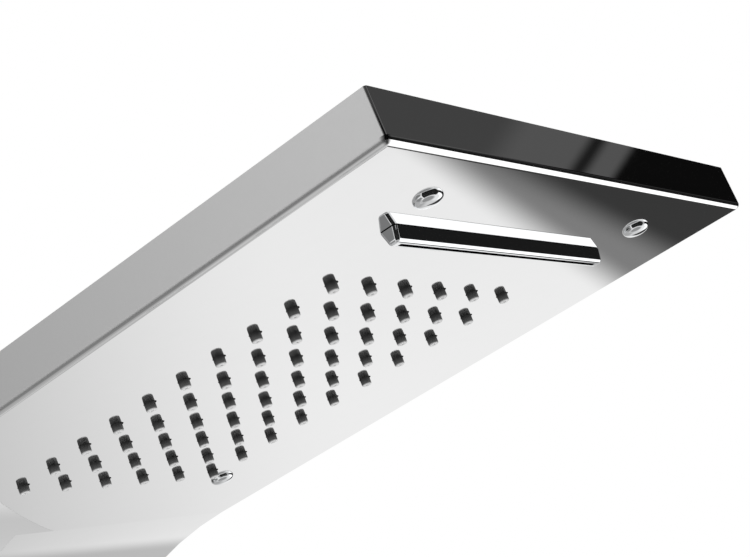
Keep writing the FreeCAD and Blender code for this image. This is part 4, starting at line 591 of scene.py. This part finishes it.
@dataclass(frozen=True)
class SpoutChrome(Finish):
    """Chrome of the waterfall spout, painted black inside the lip's groove as shade, with a drafted front.

    Places and sizes are in metres. The draft is how far the front face's normal leans downwards."""

    middle: float = 0.0
    half_groove: float = 0.68 * MM
    half_length: float = 0.0540
    lip_height: float = 0.0
    lip_margin: float = 0.08 * MM
    # Level of the painted black shade inside the groove.
    groove_shade_level: float = 0.003
    front_facing: Tuple[float, float] = (0.75, 0.95)
    draft: float = 0.22

    def groove_shade(self, canvas: NodeCanvas, parts: bpy.types.Node) -> bpy.types.NodeSocket:
        """Mask of the painted shade in the groove and slot of the lip.

        Args:
            canvas: The material's nodes.
            parts: The point's three coordinates.

        Returns:
            1 inside the groove and 0 elsewhere.
        """
        off_middle = canvas.math("ABSOLUTE", canvas.math("SUBTRACT", parts.outputs["Y"], self.middle))
        inside = canvas.math("LESS_THAN", off_middle, self.half_groove)
        along = canvas.math("LESS_THAN", canvas.math("ABSOLUTE", parts.outputs["X"]), self.half_length)
        above = canvas.math("GREATER_THAN", parts.outputs["Z"], self.lip_height + self.lip_margin)
        return canvas.math("MULTIPLY", canvas.math("MULTIPLY", inside, along), above)

    def drafted(self, canvas: NodeCanvas) -> bpy.types.NodeSocket:
        """Normal that leans downwards on the front face.

        Args:
            canvas: The material's nodes.

        Returns:
            The normal.
        """
        normal = canvas.add("ShaderNodeNewGeometry").outputs["Normal"]
        forwards = canvas.math("MULTIPLY", canvas.split(normal).outputs["Y"], -1.0)
        front = canvas.ramp(forwards, *self.front_facing)
        lean = canvas.add("ShaderNodeCombineXYZ")
        canvas.feed(lean.inputs["Z"], canvas.math("MULTIPLY", front, -self.draft))
        return canvas.combine("NORMALIZE", canvas.combine("ADD", normal, lean.outputs[0]))

    def fill(self, canvas: NodeCanvas, shader: bpy.types.Node) -> None:
        """Join the painted groove shade, the polish and the drafted front to the shader.

        Args:
            canvas: The material's nodes.
            shader: Its Principled shader.
        """
        place = canvas.add("ShaderNodeTexCoord").outputs["Object"]
        groove_shade = self.groove_shade(canvas, canvas.split(place))
        bright = self.tint(canvas, place, self.colour)
        # Painted shade: the groove and slot are painted black.
        canvas.feed(shader.inputs["Base Color"], canvas.mix(groove_shade, bright, grey(self.groove_shade_level)))
        canvas.feed(shader.inputs["Roughness"], self.polish(canvas, place))
        canvas.feed(shader.inputs["Normal"], self.drafted(canvas))


@dataclass(frozen=True)
class NozzleSilicone(Finish):
    """Dark silicone that lightens down each nozzle to a pale, limescaled tip.

    The tip's height is in metres, and so are the bands above it that the painted sheen and highlight fade
    over."""

    # Painted highlight on the tip and painted sheen on the shin above it.
    tip_highlight_colour: Colour = grey(0.84)
    shin_sheen_colour: Colour = grey(0.13)
    tip_height: float = 0.0
    tip_band: float = 0.0
    shin_band: float = 0.0

    def fill(self, canvas: NodeCanvas, shader: bpy.types.Node) -> None:
        """Join the colour with its painted sheen and tip highlight, and the grain, to the shader.

        Args:
            canvas: The material's nodes.
            shader: Its Principled shader.
        """
        place = canvas.add("ShaderNodeTexCoord").outputs["Object"]
        level = canvas.split(place).outputs["Z"]
        # Painted sheen lightens the shin towards the tip; a painted highlight whitens the tip.
        shin_sheen = canvas.ramp(level, self.tip_height + self.shin_band, self.tip_height)
        tip_highlight = canvas.ramp(level, self.tip_height + self.tip_band, self.tip_height)
        colour = canvas.mix(shin_sheen, self.colour, self.shin_sheen_colour)
        colour = canvas.mix(tip_highlight, colour, self.tip_highlight_colour)
        canvas.feed(shader.inputs["Base Color"], self.tint(canvas, place, colour))
        canvas.feed(shader.inputs["Roughness"], self.polish(canvas, place))
        canvas.feed(shader.inputs["Normal"], self.relief(canvas, place))


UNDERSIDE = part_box("waterfall_gasket")[1].z
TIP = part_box("nozzle_mat")[0].z
SPOUT_LOW, SPOUT_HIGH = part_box("waterfall_spout")
SHEET_LOW, SHEET_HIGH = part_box("panel_shell")
FOLD_FOOT = (UNDERSIDE + 0.2 * MM, UNDERSIDE + 2.0 * MM)

CHROME_COLOUR: Colour = (0.80, 0.81, 0.82)

ALONG_X = (0.02, 1.0, 1.0)
ALONG_Z = (1.0, 1.0, 0.02)
ROUND_Y = (1.0, 0.04, 1.0)

POLISHED_STEEL = PolishedSheet(
    "mirror_sheet", grey(0.80), 0.02, metallic=1.0, smudge=0.02, drift=0.02,
    corner=(SHEET_HIGH.x, -SHEET_LOW.y), foot_span=FOLD_FOOT,
)
SATIN_STEEL = Finish(
    "satin_sheet", grey(0.56), 0.3, metallic=1.0, smudge=0.1, marks=Marks.HAIRLINES, mark_stretch=ALONG_X
)
FASTENER_STEEL = Finish(
    "bright_fasteners", grey(0.55), 0.18, metallic=1.0, smudge=0.12, marks=Marks.GRAIN, mark_depth=0.006 * MM
)
CHROME = Finish("polished_chrome", CHROME_COLOUR, 0.025, metallic=1.0, smudge=0.03, drift=0.03)
SPOUT_CHROME = SpoutChrome(
    "spout_chrome", CHROME_COLOUR, 0.025, metallic=1.0, smudge=0.03, drift=0.03,
    middle=(SPOUT_LOW.y + SPOUT_HIGH.y) / 2, lip_height=SPOUT_LOW.z,
)
BODY_CHROME = Finish(
    "handled_chrome", CHROME_COLOUR, 0.04, metallic=1.0, smudge=0.07, drops=0.12, drift=0.05
)
BRASS = Finish(
    "machined_brass", (0.62, 0.43, 0.17), 0.26, metallic=1.0, smudge=0.16,
    marks=Marks.HAIRLINES, mark_stretch=ROUND_Y, drift=0.18,
)
SILICONE = NozzleSilicone(
    "nozzle_silicone", grey(0.022), 0.55, smudge=0.15, marks=Marks.GRAIN, mark_depth=0.02 * MM,
    drift=0.15, tip_height=TIP, tip_band=0.6 * MM, shin_band=2.7 * MM,
)
SEAL_RUBBER = Finish("black_seal", grey(0.012), 0.6, smudge=0.15, marks=Marks.GRAIN, mark_depth=0.02 * MM)
HOSE_RUBBER = Finish(
    "hose_skin", grey(0.028), 0.42, smudge=0.16, marks=Marks.HAIRLINES, mark_depth=0.03 * MM,
    mark_stretch=ALONG_Z, drift=0.3,
)
MOULDED_PLASTIC = Finish(
    "moulded_nylon", (0.70, 0.70, 0.67), 0.42, smudge=0.12, marks=Marks.GRAIN, mark_depth=0.03 * MM, drift=0.1
)
CERAMIC = Finish(
    "lapped_ceramic", (0.8, 0.78, 0.72), 0.15, smudge=0.06, marks=Marks.GRAIN, mark_depth=0.004 * MM
)
PLUG_PLASTIC = Finish(
    "red_plug", (0.5, 0.02, 0.015), 0.18, smudge=0.06, marks=Marks.GRAIN, mark_depth=0.006 * MM, coat=0.4
)
CARD_PAINT = Finish("card_paint", grey(0.015), 0.9, smudge=0.05, drift=0.2)


# ---- studio ---------------------------------------------------------------------------------


@dataclass(frozen=True)
class ReflectedPatch:
    """A soft-edged card or light in the surroundings, seen only in reflections.

    Angles are in degrees: azimuth from +X towards +Y, elevation above the horizon. A leaning
    patch has its azimuth limits moved by lean degrees for each degree of fall below the horizon."""

    level: float
    azimuth: Tuple[float, float]
    elevation: Tuple[float, float]
    azimuth_edge: float
    elevation_edge: float
    lean: float = 0.0


@dataclass(frozen=True)
class BlackCard:
    """A black card curved round the front and left of the head, seen only in reflections.

    Its place, radius and heights are in metres, its ends in degrees from +X towards +Y."""

    centre: Tuple[float, float] = (0.0, -0.42)
    radius: float = 0.33
    azimuth: Tuple[float, float] = (-180.0, -68.0)
    height: Tuple[float, float] = (-0.12, 0.36)
    steps: int = 20

    def build(self) -> bpy.types.Object:
        """Stand the card beside the head, hidden from the camera itself.

        Returns:
            The card.
        """
        mesh = bpy.data.meshes.new("black_card")
        points = []
        for step in range(self.steps + 1):
            share = step / self.steps
            angle = math.radians(self.azimuth[0] + share * (self.azimuth[1] - self.azimuth[0]))
            x = self.centre[0] + self.radius * math.cos(angle)
            y = self.centre[1] + self.radius * math.sin(angle)
            points += [(x, y, self.height[0]), (x, y, self.height[1])]
        faces = [(2 * n, 2 * n + 2, 2 * n + 3, 2 * n + 1) for n in range(self.steps)]
        mesh.from_pydata(points, [], faces)
        card = bpy.data.objects.new("black_card", mesh)
        bpy.context.scene.collection.objects.link(card)
        card.visible_camera = False
        card.visible_diffuse = False
        card.visible_shadow = False
        card.visible_transmission = False
        mesh.materials.append(CARD_PAINT.build())
        return card


@dataclass(frozen=True)
class SoftLamp:
    """A square lamp, left out of reflections. Lengths are in metres and the power in watts."""

    name: str
    place: Tuple[float, float, float]
    size: float
    power: float

    def build(self, target: Vector) -> bpy.types.Object:
        """Hang the lamp, aimed at a target.

        Args:
            target: The point that it lights.

        Returns:
            The lamp.
        """
        light = bpy.data.lights.new(self.name, "AREA")
        light.size = self.size
        light.energy = self.power
        lamp = bpy.data.objects.new(self.name, light)
        place = Vector(self.place)
        lamp.location = place
        lamp.rotation_euler = (target - place).to_track_quat("-Z", "Y").to_euler()
        lamp.visible_glossy = False
        bpy.context.scene.collection.objects.link(lamp)
        return lamp


@dataclass
class Studio:
    """Plain pale floor, soft lamps, and surroundings of white with a few cards.

    Backdrop, surroundings and soft_light are the levels that the camera, reflections and all
    other light get. The floor lies floor_drop below the panel's foot, in metres, and is lifted
    towards white for the camera by floor_lift."""

    patches: Tuple[ReflectedPatch, ...]
    backdrop: float = 1.0
    surroundings: float = 1.0
    soft_light: float = 0.8
    card: BlackCard = BlackCard()
    floor_size: float = 12.0
    floor_drop: float = 0.65
    floor_level: float = 0.85
    floor_roughness: float = 0.9
    floor_lift: float = 0.6
    lamps: Tuple[SoftLamp, ...] = (
        SoftLamp("key_lamp", (-1.8, -2.6, 2.2), 1.6, 60.0),
        SoftLamp("fill_lamp", (2.4, -1.8, 0.6), 1.8, 30.0),
    )

    def band(
        self, canvas: NodeCanvas, angle: object, limits: Tuple[float, float], edge: float
    ) -> bpy.types.NodeSocket:
        """Mask of the directions between two angles.

        Args:
            canvas: The surroundings' nodes.
            angle: The direction's angle, in radians.
            limits: The two angles, in degrees.
            edge: Half the width over which the mask fades, in degrees.

        Returns:
            1 between the angles and 0 outside them.
        """
        low, high = (math.radians(limit) for limit in limits)
        soft = math.radians(edge)
        rise = canvas.ramp(angle, low - soft, low + soft)
        fall = canvas.ramp(angle, high + soft, high - soft)
        return canvas.math("MULTIPLY", rise, fall)

    def build_world(self) -> None:
        """White to the camera, white with the cards in reflections, and soft light elsewhere."""
        world = bpy.data.worlds.new("studio_world")
        bpy.context.scene.world = world
        world.use_nodes = True
        canvas = NodeCanvas(world.node_tree)
        look = canvas.split(canvas.add("ShaderNodeTexCoord").outputs["Generated"])
        azimuth = canvas.math("ARCTAN2", look.outputs["Y"], look.outputs["X"])
        elevation = canvas.math("ARCSINE", look.outputs["Z"])
        colour: object = grey(self.surroundings)
        for patch in self.patches:
            leaning = canvas.math("ADD", azimuth, canvas.math("MULTIPLY", elevation, patch.lean))
            across = self.band(canvas, leaning, patch.azimuth, patch.azimuth_edge)
            up = self.band(canvas, elevation, patch.elevation, patch.elevation_edge)
            colour = canvas.mix(canvas.math("MULTIPLY", across, up), colour, grey(patch.level))
        rays = canvas.add("ShaderNodeLightPath")
        seen = canvas.mix(rays.outputs["Is Glossy Ray"], grey(self.soft_light), colour)
        seen = canvas.mix(rays.outputs["Is Camera Ray"], seen, grey(self.backdrop))
        background = world.node_tree.nodes["Background"]
        canvas.feed(background.inputs["Color"], seen)

    def build_floor(self) -> bpy.types.Object:
        """Lay a wide pale floor below the panel.

        Returns:
            The floor.
        """
        half = self.floor_size / 2
        mesh = bpy.data.meshes.new("floor")
        height = CAD_BOX[0].z - self.floor_drop
        corners = [(-half, -half, height), (half, -half, height), (half, half, height), (-half, half, height)]
        mesh.from_pydata(corners, [], [(0, 1, 2, 3)])
        floor = bpy.data.objects.new("floor", mesh)
        bpy.context.scene.collection.objects.link(floor)
        floor.visible_glossy = False
        mesh.materials.append(self.floor_material())
        return floor

    def floor_material(self) -> bpy.types.Material:
        """Matt pale floor, lifted towards white for the camera and clear from below.

        Returns:
            The material.
        """
        material = bpy.data.materials.new("pale_floor")
        material.use_nodes = True
        canvas = NodeCanvas(material.node_tree)
        shader = material.node_tree.nodes["Principled BSDF"]
        canvas.feed(shader.inputs["Base Color"], grey(self.floor_level))
        shader.inputs["Roughness"].default_value = self.floor_roughness
        glow = canvas.add("ShaderNodeEmission")
        clear = canvas.add("ShaderNodeBsdfTransparent")
        rays = canvas.add("ShaderNodeLightPath")
        lifted = canvas.add("ShaderNodeMixShader")
        lift = canvas.math("MULTIPLY", rays.outputs["Is Camera Ray"], self.floor_lift)
        canvas.feed(lifted.inputs[0], lift)
        canvas.feed(lifted.inputs[1], shader.outputs[0])
        canvas.feed(lifted.inputs[2], glow.outputs[0])
        one_way = canvas.add("ShaderNodeMixShader")
        canvas.feed(one_way.inputs[0], canvas.add("ShaderNodeNewGeometry").outputs["Backfacing"])
        canvas.feed(one_way.inputs[1], lifted.outputs[0])
        canvas.feed(one_way.inputs[2], clear.outputs[0])
        output = material.node_tree.nodes["Material Output"]
        canvas.feed(output.inputs["Surface"], one_way.outputs[0])
        return material

    def build(self) -> None:
        """Build the surroundings, the floor, the card and the lamps."""
        self.build_world()
        self.build_floor()
        self.card.build()
        middle = (CAD_BOX[0] + CAD_BOX[1]) / 2
        for lamp in self.lamps:
            lamp.build(middle)


@dataclass(frozen=True)
class PhotoCamera:
    """The photograph's view, worked out from the nozzle grid and the sheet's edges.

    The place is measured in millimetres from the front-left hole for a nozzle, and the three
    directions are those of the picture. The focal length and width are in the photograph's pixels."""

    nozzle_hole: Tuple[float, float] = (-45.0, -385.5)
    from_hole: Tuple[float, float, float] = (-362.63, -235.0, -141.09)
    right: Tuple[float, float, float] = (0.58062781, -0.7286804, -0.36317519)
    down: Tuple[float, float, float] = (0.04112626, 0.47174878, -0.88077337)
    forward: Tuple[float, float, float] = (0.81312974, 0.49646548, 0.30387836)
    focal_pixels: float = 1661.0
    frame_pixels: float = 750.0
    sensor: float = 36.0
    clip_start: float = 0.01

    def build(self) -> None:
        """Place the camera by the front-left nozzle's hole in the underside."""
        data = bpy.data.cameras.new("photo_camera")
        data.sensor_width = self.sensor
        data.lens = self.focal_pixels / self.frame_pixels * self.sensor
        data.clip_start = self.clip_start
        camera = bpy.data.objects.new("photo_camera", data)
        columns = (Vector(self.right), -Vector(self.down), -Vector(self.forward))
        turn = Matrix(columns).transposed().to_4x4()
        across, along = self.nozzle_hole
        hole = Vector((across * MM, along * MM, UNDERSIDE))
        camera.matrix_world = Matrix.Translation(hole + Vector(self.from_hole) * MM) @ turn
        bpy.context.scene.collection.objects.link(camera)
        bpy.context.scene.camera = camera


# ---- making meshes --------------------------------------------------------------------------


@dataclass(frozen=True)
class Turning:
    """A closed turned solid: a profile swept round an axis.

    The profile is pairs of distance along the axis and radius, in millimetres."""

    profile: Tuple[Tuple[float, float], ...]
    segments: int

    def add(self, mesh: bmesh.types.BMesh, origin: Vector, axis: Vector) -> None:
        """Add the solid to a mesh.

        Args:
            mesh: The mesh to add to.
            origin: Where the profile's distances start, in metres.
            axis: The direction that the distances run in.
        """
        turn = axis.to_track_quat("Z", "Y").to_matrix()
        rings = [self.ring(mesh, origin, turn, along, radius) for along, radius in self.profile]
        for first, second in zip(rings, rings[1:]):
            self.skin(mesh, first, second)

    def ring(
        self, mesh: bmesh.types.BMesh, origin: Vector, turn: Matrix, along: float, radius: float
    ) -> Ring:
        """Add one ring of points, or one point where the radius is zero.

        Args:
            mesh: The mesh to add to.
            origin: Where the profile's distances start, in metres.
            turn: Rotation from the profile's axis to the piece's.
            along: Distance along the axis in millimetres.
            radius: Radius in millimetres.

        Returns:
            The ring's points.
        """
        if radius == 0.0:
            return [mesh.verts.new(origin + turn @ Vector((0.0, 0.0, along * MM)))]
        points = []
        for step in range(self.segments):
            angle = 2.0 * math.pi * step / self.segments
            offset = Vector((radius * math.cos(angle), radius * math.sin(angle), along)) * MM
            points.append(mesh.verts.new(origin + turn @ offset))
        return points

    def skin(self, mesh: bmesh.types.BMesh, first: Ring, second: Ring) -> None:
        """Join two neighbouring rings with faces that look outwards.

        Args:
            mesh: The mesh to add to.
            first: The ring that comes first along the axis.
            second: The ring after it.
        """
        for step in range(self.segments):
            after = (step + 1) % self.segments
            if len(first) == 1:
                corners = (first[0], second[after], second[step])
            elif len(second) == 1:
                corners = (first[step], first[after], second[0])
            else:
                corners = (first[step], first[after], second[after], second[step])
            mesh.faces.new(corners)


def bevelled_slab(mesh: bmesh.types.BMesh, low: Vector, high: Vector, edge: float, steps: int = 3) -> None:
    """Add a closed slab with rounded edges.

    Args:
        mesh: The mesh to add to.
        low: Its lowest corner, in metres.
        high: Its highest corner, in metres.
        edge: Radius of its edges, in metres.
        steps: How many faces round each edge.
    """
    made = bmesh.ops.create_cube(mesh, size=1.0)["verts"]
    middle, size = (low + high) / 2, high - low
    for vertex in made:
        vertex.co = middle + Vector(tuple(c * s for c, s in zip(vertex.co, size)))
    edges = {line for vertex in made for line in vertex.link_edges}
    bmesh.ops.bevel(mesh, geom=list(edges), offset=edge, segments=steps, affect="EDGES", profile=0.5)


def finish_piece(name: str, mesh: bmesh.types.BMesh, body: str, node: str) -> bpy.types.Object:
    """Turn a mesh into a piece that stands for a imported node.

    Args:
        name: The piece's name.
        mesh: Its mesh, which is freed.
        body: The body that it rides on.
        node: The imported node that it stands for.

    Returns:
        The new piece.
    """
    bmesh.ops.recalc_face_normals(mesh, faces=mesh.faces)
    for face in mesh.faces:
        face.smooth = True
    for line in mesh.edges:
        if len(line.link_faces) == 2 and line.calc_face_angle() > SHARP_ANGLE:
            line.smooth = False
    data = bpy.data.meshes.new(name)
    mesh.to_mesh(data)
    mesh.free()
    piece = bpy.data.objects.new(name, data)
    bpy.context.scene.collection.objects.link(piece)
    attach(piece, body)
    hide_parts(node)
    LOG.info("built %s", name)
    return piece


# ---- sub-assemblies -------------------------------------------------------------------------


Finishes = Tuple[Tuple[Finish, Tuple[str, ...]], ...]


@dataclass
class SubAssembly:
    """A group of pieces that is built and dressed together."""

    finishes: Finishes = ()

    def build(self) -> None:
        """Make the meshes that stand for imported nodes; none unless a sub-assembly has some."""

    def dress(self) -> None:
        """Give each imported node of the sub-assembly its finish."""
        for finish, names in self.finishes:
            for name in names:
                self.coat(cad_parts[name], finish)

    def coat(self, piece: bpy.types.Object, finish: Finish) -> None:
        """Give one piece one finish.

        Args:
            piece: The piece.
            finish: Its finish.
        """
        piece.data.materials.clear()
        piece.data.materials.append(finish.build())
        LOG.info("dressed %s in %s", piece.name, finish.name)


@dataclass
class Shell(SubAssembly):
    """The folded column and head, the head's cover and its screws."""

    finishes: Finishes = (
        (POLISHED_STEEL, ("panel_shell",)),
        (SATIN_STEEL, ("head_top_cover",)),
        (FASTENER_STEEL, ("cover_screws",)),
    )


@dataclass
class RainField(SubAssembly):
    """The silicone mat with its nozzles, and the water box behind it.

    Places, pitches and the nozzle's profile are in millimetres, the mat's own sizes in metres."""

    finishes: Finishes = (
        (MOULDED_PLASTIC, ("water_box",)),
        (SILICONE, ("nozzle_mat",)),
    )
    columns: int = 6
    rows: int = 10
    across: float = 18.0
    along: float = 15.0
    first: Tuple[float, float] = (-45.25, -385.5)
    mat_thickness: float = 1.5 * MM
    mat_edge: float = 0.3 * MM
    nozzle: Turning = Turning(
        (
            (-1.0, 0.0), (-1.0, 1.75), (0.0, 1.75), (1.2, 1.74), (2.6, 1.71), (3.25, 1.68), (3.48, 1.62),
            (3.66, 1.49), (3.77, 1.30), (3.80, 1.05), (3.80, 0.56), (3.76, 0.48), (3.62, 0.42), (3.3, 0.40),
            (3.3, 0.0),
        ),
        segments=28,
    )

    def feet(self) -> Iterator[Vector]:
        """Find where the nozzles leave the mat.

        Yields:
            The middle of each nozzle's foot, in metres.
        """
        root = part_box("nozzle_mat")[1].z - self.mat_thickness
        left, front = self.first
        for row in range(self.rows):
            for column in range(self.columns):
                yield Vector(((left + column * self.across) * MM, (front + row * self.along) * MM, root))

    def build(self) -> None:
        """Make the mat with soft-edged nozzles, each with its bore."""
        low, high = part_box("nozzle_mat")
        mesh = bmesh.new()
        slab_low = Vector((low.x, low.y, high.z - self.mat_thickness))
        bevelled_slab(mesh, slab_low, high, self.mat_edge)
        for foot in self.feet():
            self.nozzle.add(mesh, foot, DOWN)
        mat = finish_piece("rain_nozzles", mesh, "panel", "nozzle_mat")
        self.coat(mat, SILICONE)


@dataclass
class HeadFasteners(SubAssembly):
    """The domed screws that hold the water box to the sheet, and their nuts.

    Sizes are in millimetres. A roundness of 2 makes the head's outline an ellipse; more fills it out."""

    finishes: Finishes = (
        (FASTENER_STEEL, ("head_screw_nuts",)),
        (CHROME, ("head_screws",)),
    )
    half_spacing: float = 58.1
    front: float = -430.7
    rear: float = -242.8
    shank_length: float = 13.6
    shank_radius: float = 2.0
    tip_chamfer: float = 0.3
    head_radius: float = 4.24
    head_height: float = 2.15
    roundness: float = 2.2
    head_steps: int = 18
    segments: int = 56

    def profile(self) -> Tuple[Tuple[float, float], ...]:
        """Profile of a screw: the shank from its chamfered tip, then the dome of the head.

        Returns:
            Pairs of distance along the axis and radius, in millimetres.
        """
        length, radius, chamfer = self.shank_length, self.shank_radius, self.tip_chamfer
        points = [(-length, 0.0), (-length, radius - chamfer), (chamfer - length, radius), (0.0, radius)]
        power = 2.0 / self.roundness
        for step in range(self.head_steps + 1):
            angle = 0.5 * math.pi * step / self.head_steps
            along = self.head_height * math.sin(angle) ** power
            around = 0.0 if step == self.head_steps else self.head_radius * math.cos(angle) ** power
            points.append((along, around))
        return tuple(points)

    def build(self) -> None:
        """Make the four screws with rounded heads."""
        mesh = bmesh.new()
        screw = Turning(self.profile(), self.segments)
        for x in (-self.half_spacing, self.half_spacing):
            for y in (self.front, self.rear):
                screw.add(mesh, Vector((x * MM, y * MM, UNDERSIDE)), DOWN)
        screws = finish_piece("domed_screws", mesh, "panel", "head_screws")
        self.coat(screws, CHROME)


@dataclass
class WaterfallOutlet(SubAssembly):
    """The waterfall spout under the head, its gasket, screws and inlet elbow."""

    finishes: Finishes = (
        (SPOUT_CHROME, ("waterfall_spout",)),
        (SEAL_RUBBER, ("waterfall_gasket",)),
        (FASTENER_STEEL, ("spout_screws",)),
        (BRASS, ("waterfall_inlet_elbow",)),
    )


@dataclass
class Mixer(SubAssembly):
    """The single-lever mixer: body, cartridge, turret, dome and handle."""

    finishes: Finishes = (
        (BRASS, ("mixer_body", "cartridge_nut", "mixer_clamp_nut", "mixer_stem")),
        (MOULDED_PLASTIC, ("mixer_cartridge", "mixer_turret")),
        (BODY_CHROME, ("mixer_escutcheon", "mixer_dome", "mixer_handle")),
        (FASTENER_STEEL, ("stem_pin", "handle_set_screw")),
        (PLUG_PLASTIC, ("handle_plug",)),
    )


@dataclass
class Diverter(SubAssembly):
    """The outlet chooser: body, ceramic disc, spindle and knob."""

    finishes: Finishes = (
        (BRASS, ("diverter_body", "diverter_clamp_nut", "diverter_gland_nut", "diverter_spindle")),
        (CERAMIC, ("diverter_disc",)),
        (MOULDED_PLASTIC, ("diverter_cartridge",)),
        (BODY_CHROME, ("diverter_escutcheon", "diverter_knob")),
        (FASTENER_STEEL, ("knob_set_screw",)),
    )


JETS = (1, 2, 3)


@dataclass
class BodyJets(SubAssembly):
    """Three tilting body jets down the column."""

    finishes: Finishes = (
        (BODY_CHROME, tuple(f"jet_{n}_{part}" for n in JETS for part in ("frame", "roller"))),
        (MOULDED_PLASTIC, tuple(f"jet_{n}_housing" for n in JETS)),
        (SEAL_RUBBER, ("jet_gaskets",)),
        (FASTENER_STEEL, ("jet_screws",)),
    )


@dataclass
class HandShowerFittings(SubAssembly):
    """The hand shower's hose outlet and its tilting holder."""

    finishes: Finishes = (
        (BODY_CHROME, ("hand_shower_outlet", "holder_base", "holder_cradle")),
        (FASTENER_STEEL, ("holder_pin", "holder_screw")),
        (BRASS, ("outlet_nut",)),
    )


@dataclass
class Plumbing(SubAssembly):
    """The hoses inside the column, their clamps and the brass pipe."""

    finishes: Finishes = (
        (
            HOSE_RUBBER,
            (
                "rain_feed_hose", "waterfall_feed_hose", "hand_shower_feed_hose", "jet_feed_hose",
                "jet_link_hoses",
            ),
        ),
        (FASTENER_STEEL, ("hose_clamps",)),
        (BRASS, ("supply_pipe",)),
    )


@dataclass
class WallBrackets(SubAssembly):
    """The bracket and bar that the column hangs on, and the one that locks its foot."""

    finishes: Finishes = (
        (SATIN_STEEL, ("upper_wall_bracket", "upper_hanger_bar", "lower_wall_bracket")),
        (FASTENER_STEEL, ("bracket_lock_screws",)),
    )


SUB_ASSEMBLIES: Tuple[SubAssembly, ...] = (
    Shell(),
    RainField(),
    HeadFasteners(),
    WaterfallOutlet(),
    Mixer(),
    Diverter(),
    BodyJets(),
    HandShowerFittings(),
    Plumbing(),
    WallBrackets(),
)


# Each patch: level, azimuths, elevations, and how softly its sides and its ends fade.
STUDIO = Studio(
    patches=(
        # pale ground low on the right, then the dimmer side of the room, behind the panel's wall
        ReflectedPatch(0.77, (15.0, 60.0), (-60.0, -32.0), 8.0, 3.0),
        ReflectedPatch(0.60, (15.0, 60.0), (-31.0, -23.5), 8.0, 2.5),
        ReflectedPatch(0.46, (45.0, 142.0), (-60.0, 50.0), 12.0, 10.0),
        # grey card low at the rear left, which the left fold and the spout's end reflect
        ReflectedPatch(0.27, (118.0, 168.0), (-48.0, -9.0), 5.0, 4.0),
        # grey wall in front of the column, paler towards its foot
        ReflectedPatch(0.62, (-172.0, -62.0), (-52.0, 60.0), 8.0, 10.0),
        ReflectedPatch(0.40, (-160.0, -62.0), (-18.0, 60.0), 14.0, 14.0),
        # grey ground straight below, all the way round
        ReflectedPatch(0.33, (-200.0, 200.0), (-95.0, -62.0), 4.0, 8.0),
        # bright strip below the front card
        ReflectedPatch(1.50, (-50.0, 12.0), (-37.0, -12.0), 5.0, 2.0),
        # dark front card, blacker along its foot, with a paler band, a streak and a black end
        ReflectedPatch(0.062, (-62.0, 8.0), (-13.0, 60.0), 6.0, 1.0),
        ReflectedPatch(0.012, (-62.0, 8.0), (-13.0, 8.0), 6.0, 1.0),
        ReflectedPatch(0.100, (-59.5, -50.0), (10.0, 40.0), 1.2, 2.0, lean=-1.7),
        ReflectedPatch(0.012, (-54.7, -53.7), (10.0, 40.0), 0.45, 2.0, lean=-1.7),
        ReflectedPatch(0.004, (-52.0, -10.0), (10.0, 40.0), 0.4, 2.0, lean=-1.7),
        # dark card low on the right, inside its paler border
        ReflectedPatch(0.24, (-10.5, 14.6), (-31.0, -4.0), 0.9, 3.0, lean=0.63),
        ReflectedPatch(0.045, (-13.5, 9.9), (-31.0, -4.0), 0.8, 3.0, lean=0.8),
    ),
)


def main() -> None:
    """Build the camera, the studio and every piece in order."""
    logging.basicConfig(level=logging.INFO)
    bpy.context.scene.view_settings.view_transform = "Standard"
    PhotoCamera().build()
    STUDIO.build()
    for sub_assembly in SUB_ASSEMBLIES:
        sub_assembly.build()
        sub_assembly.dress()


if __name__ == "__main__":
    main()
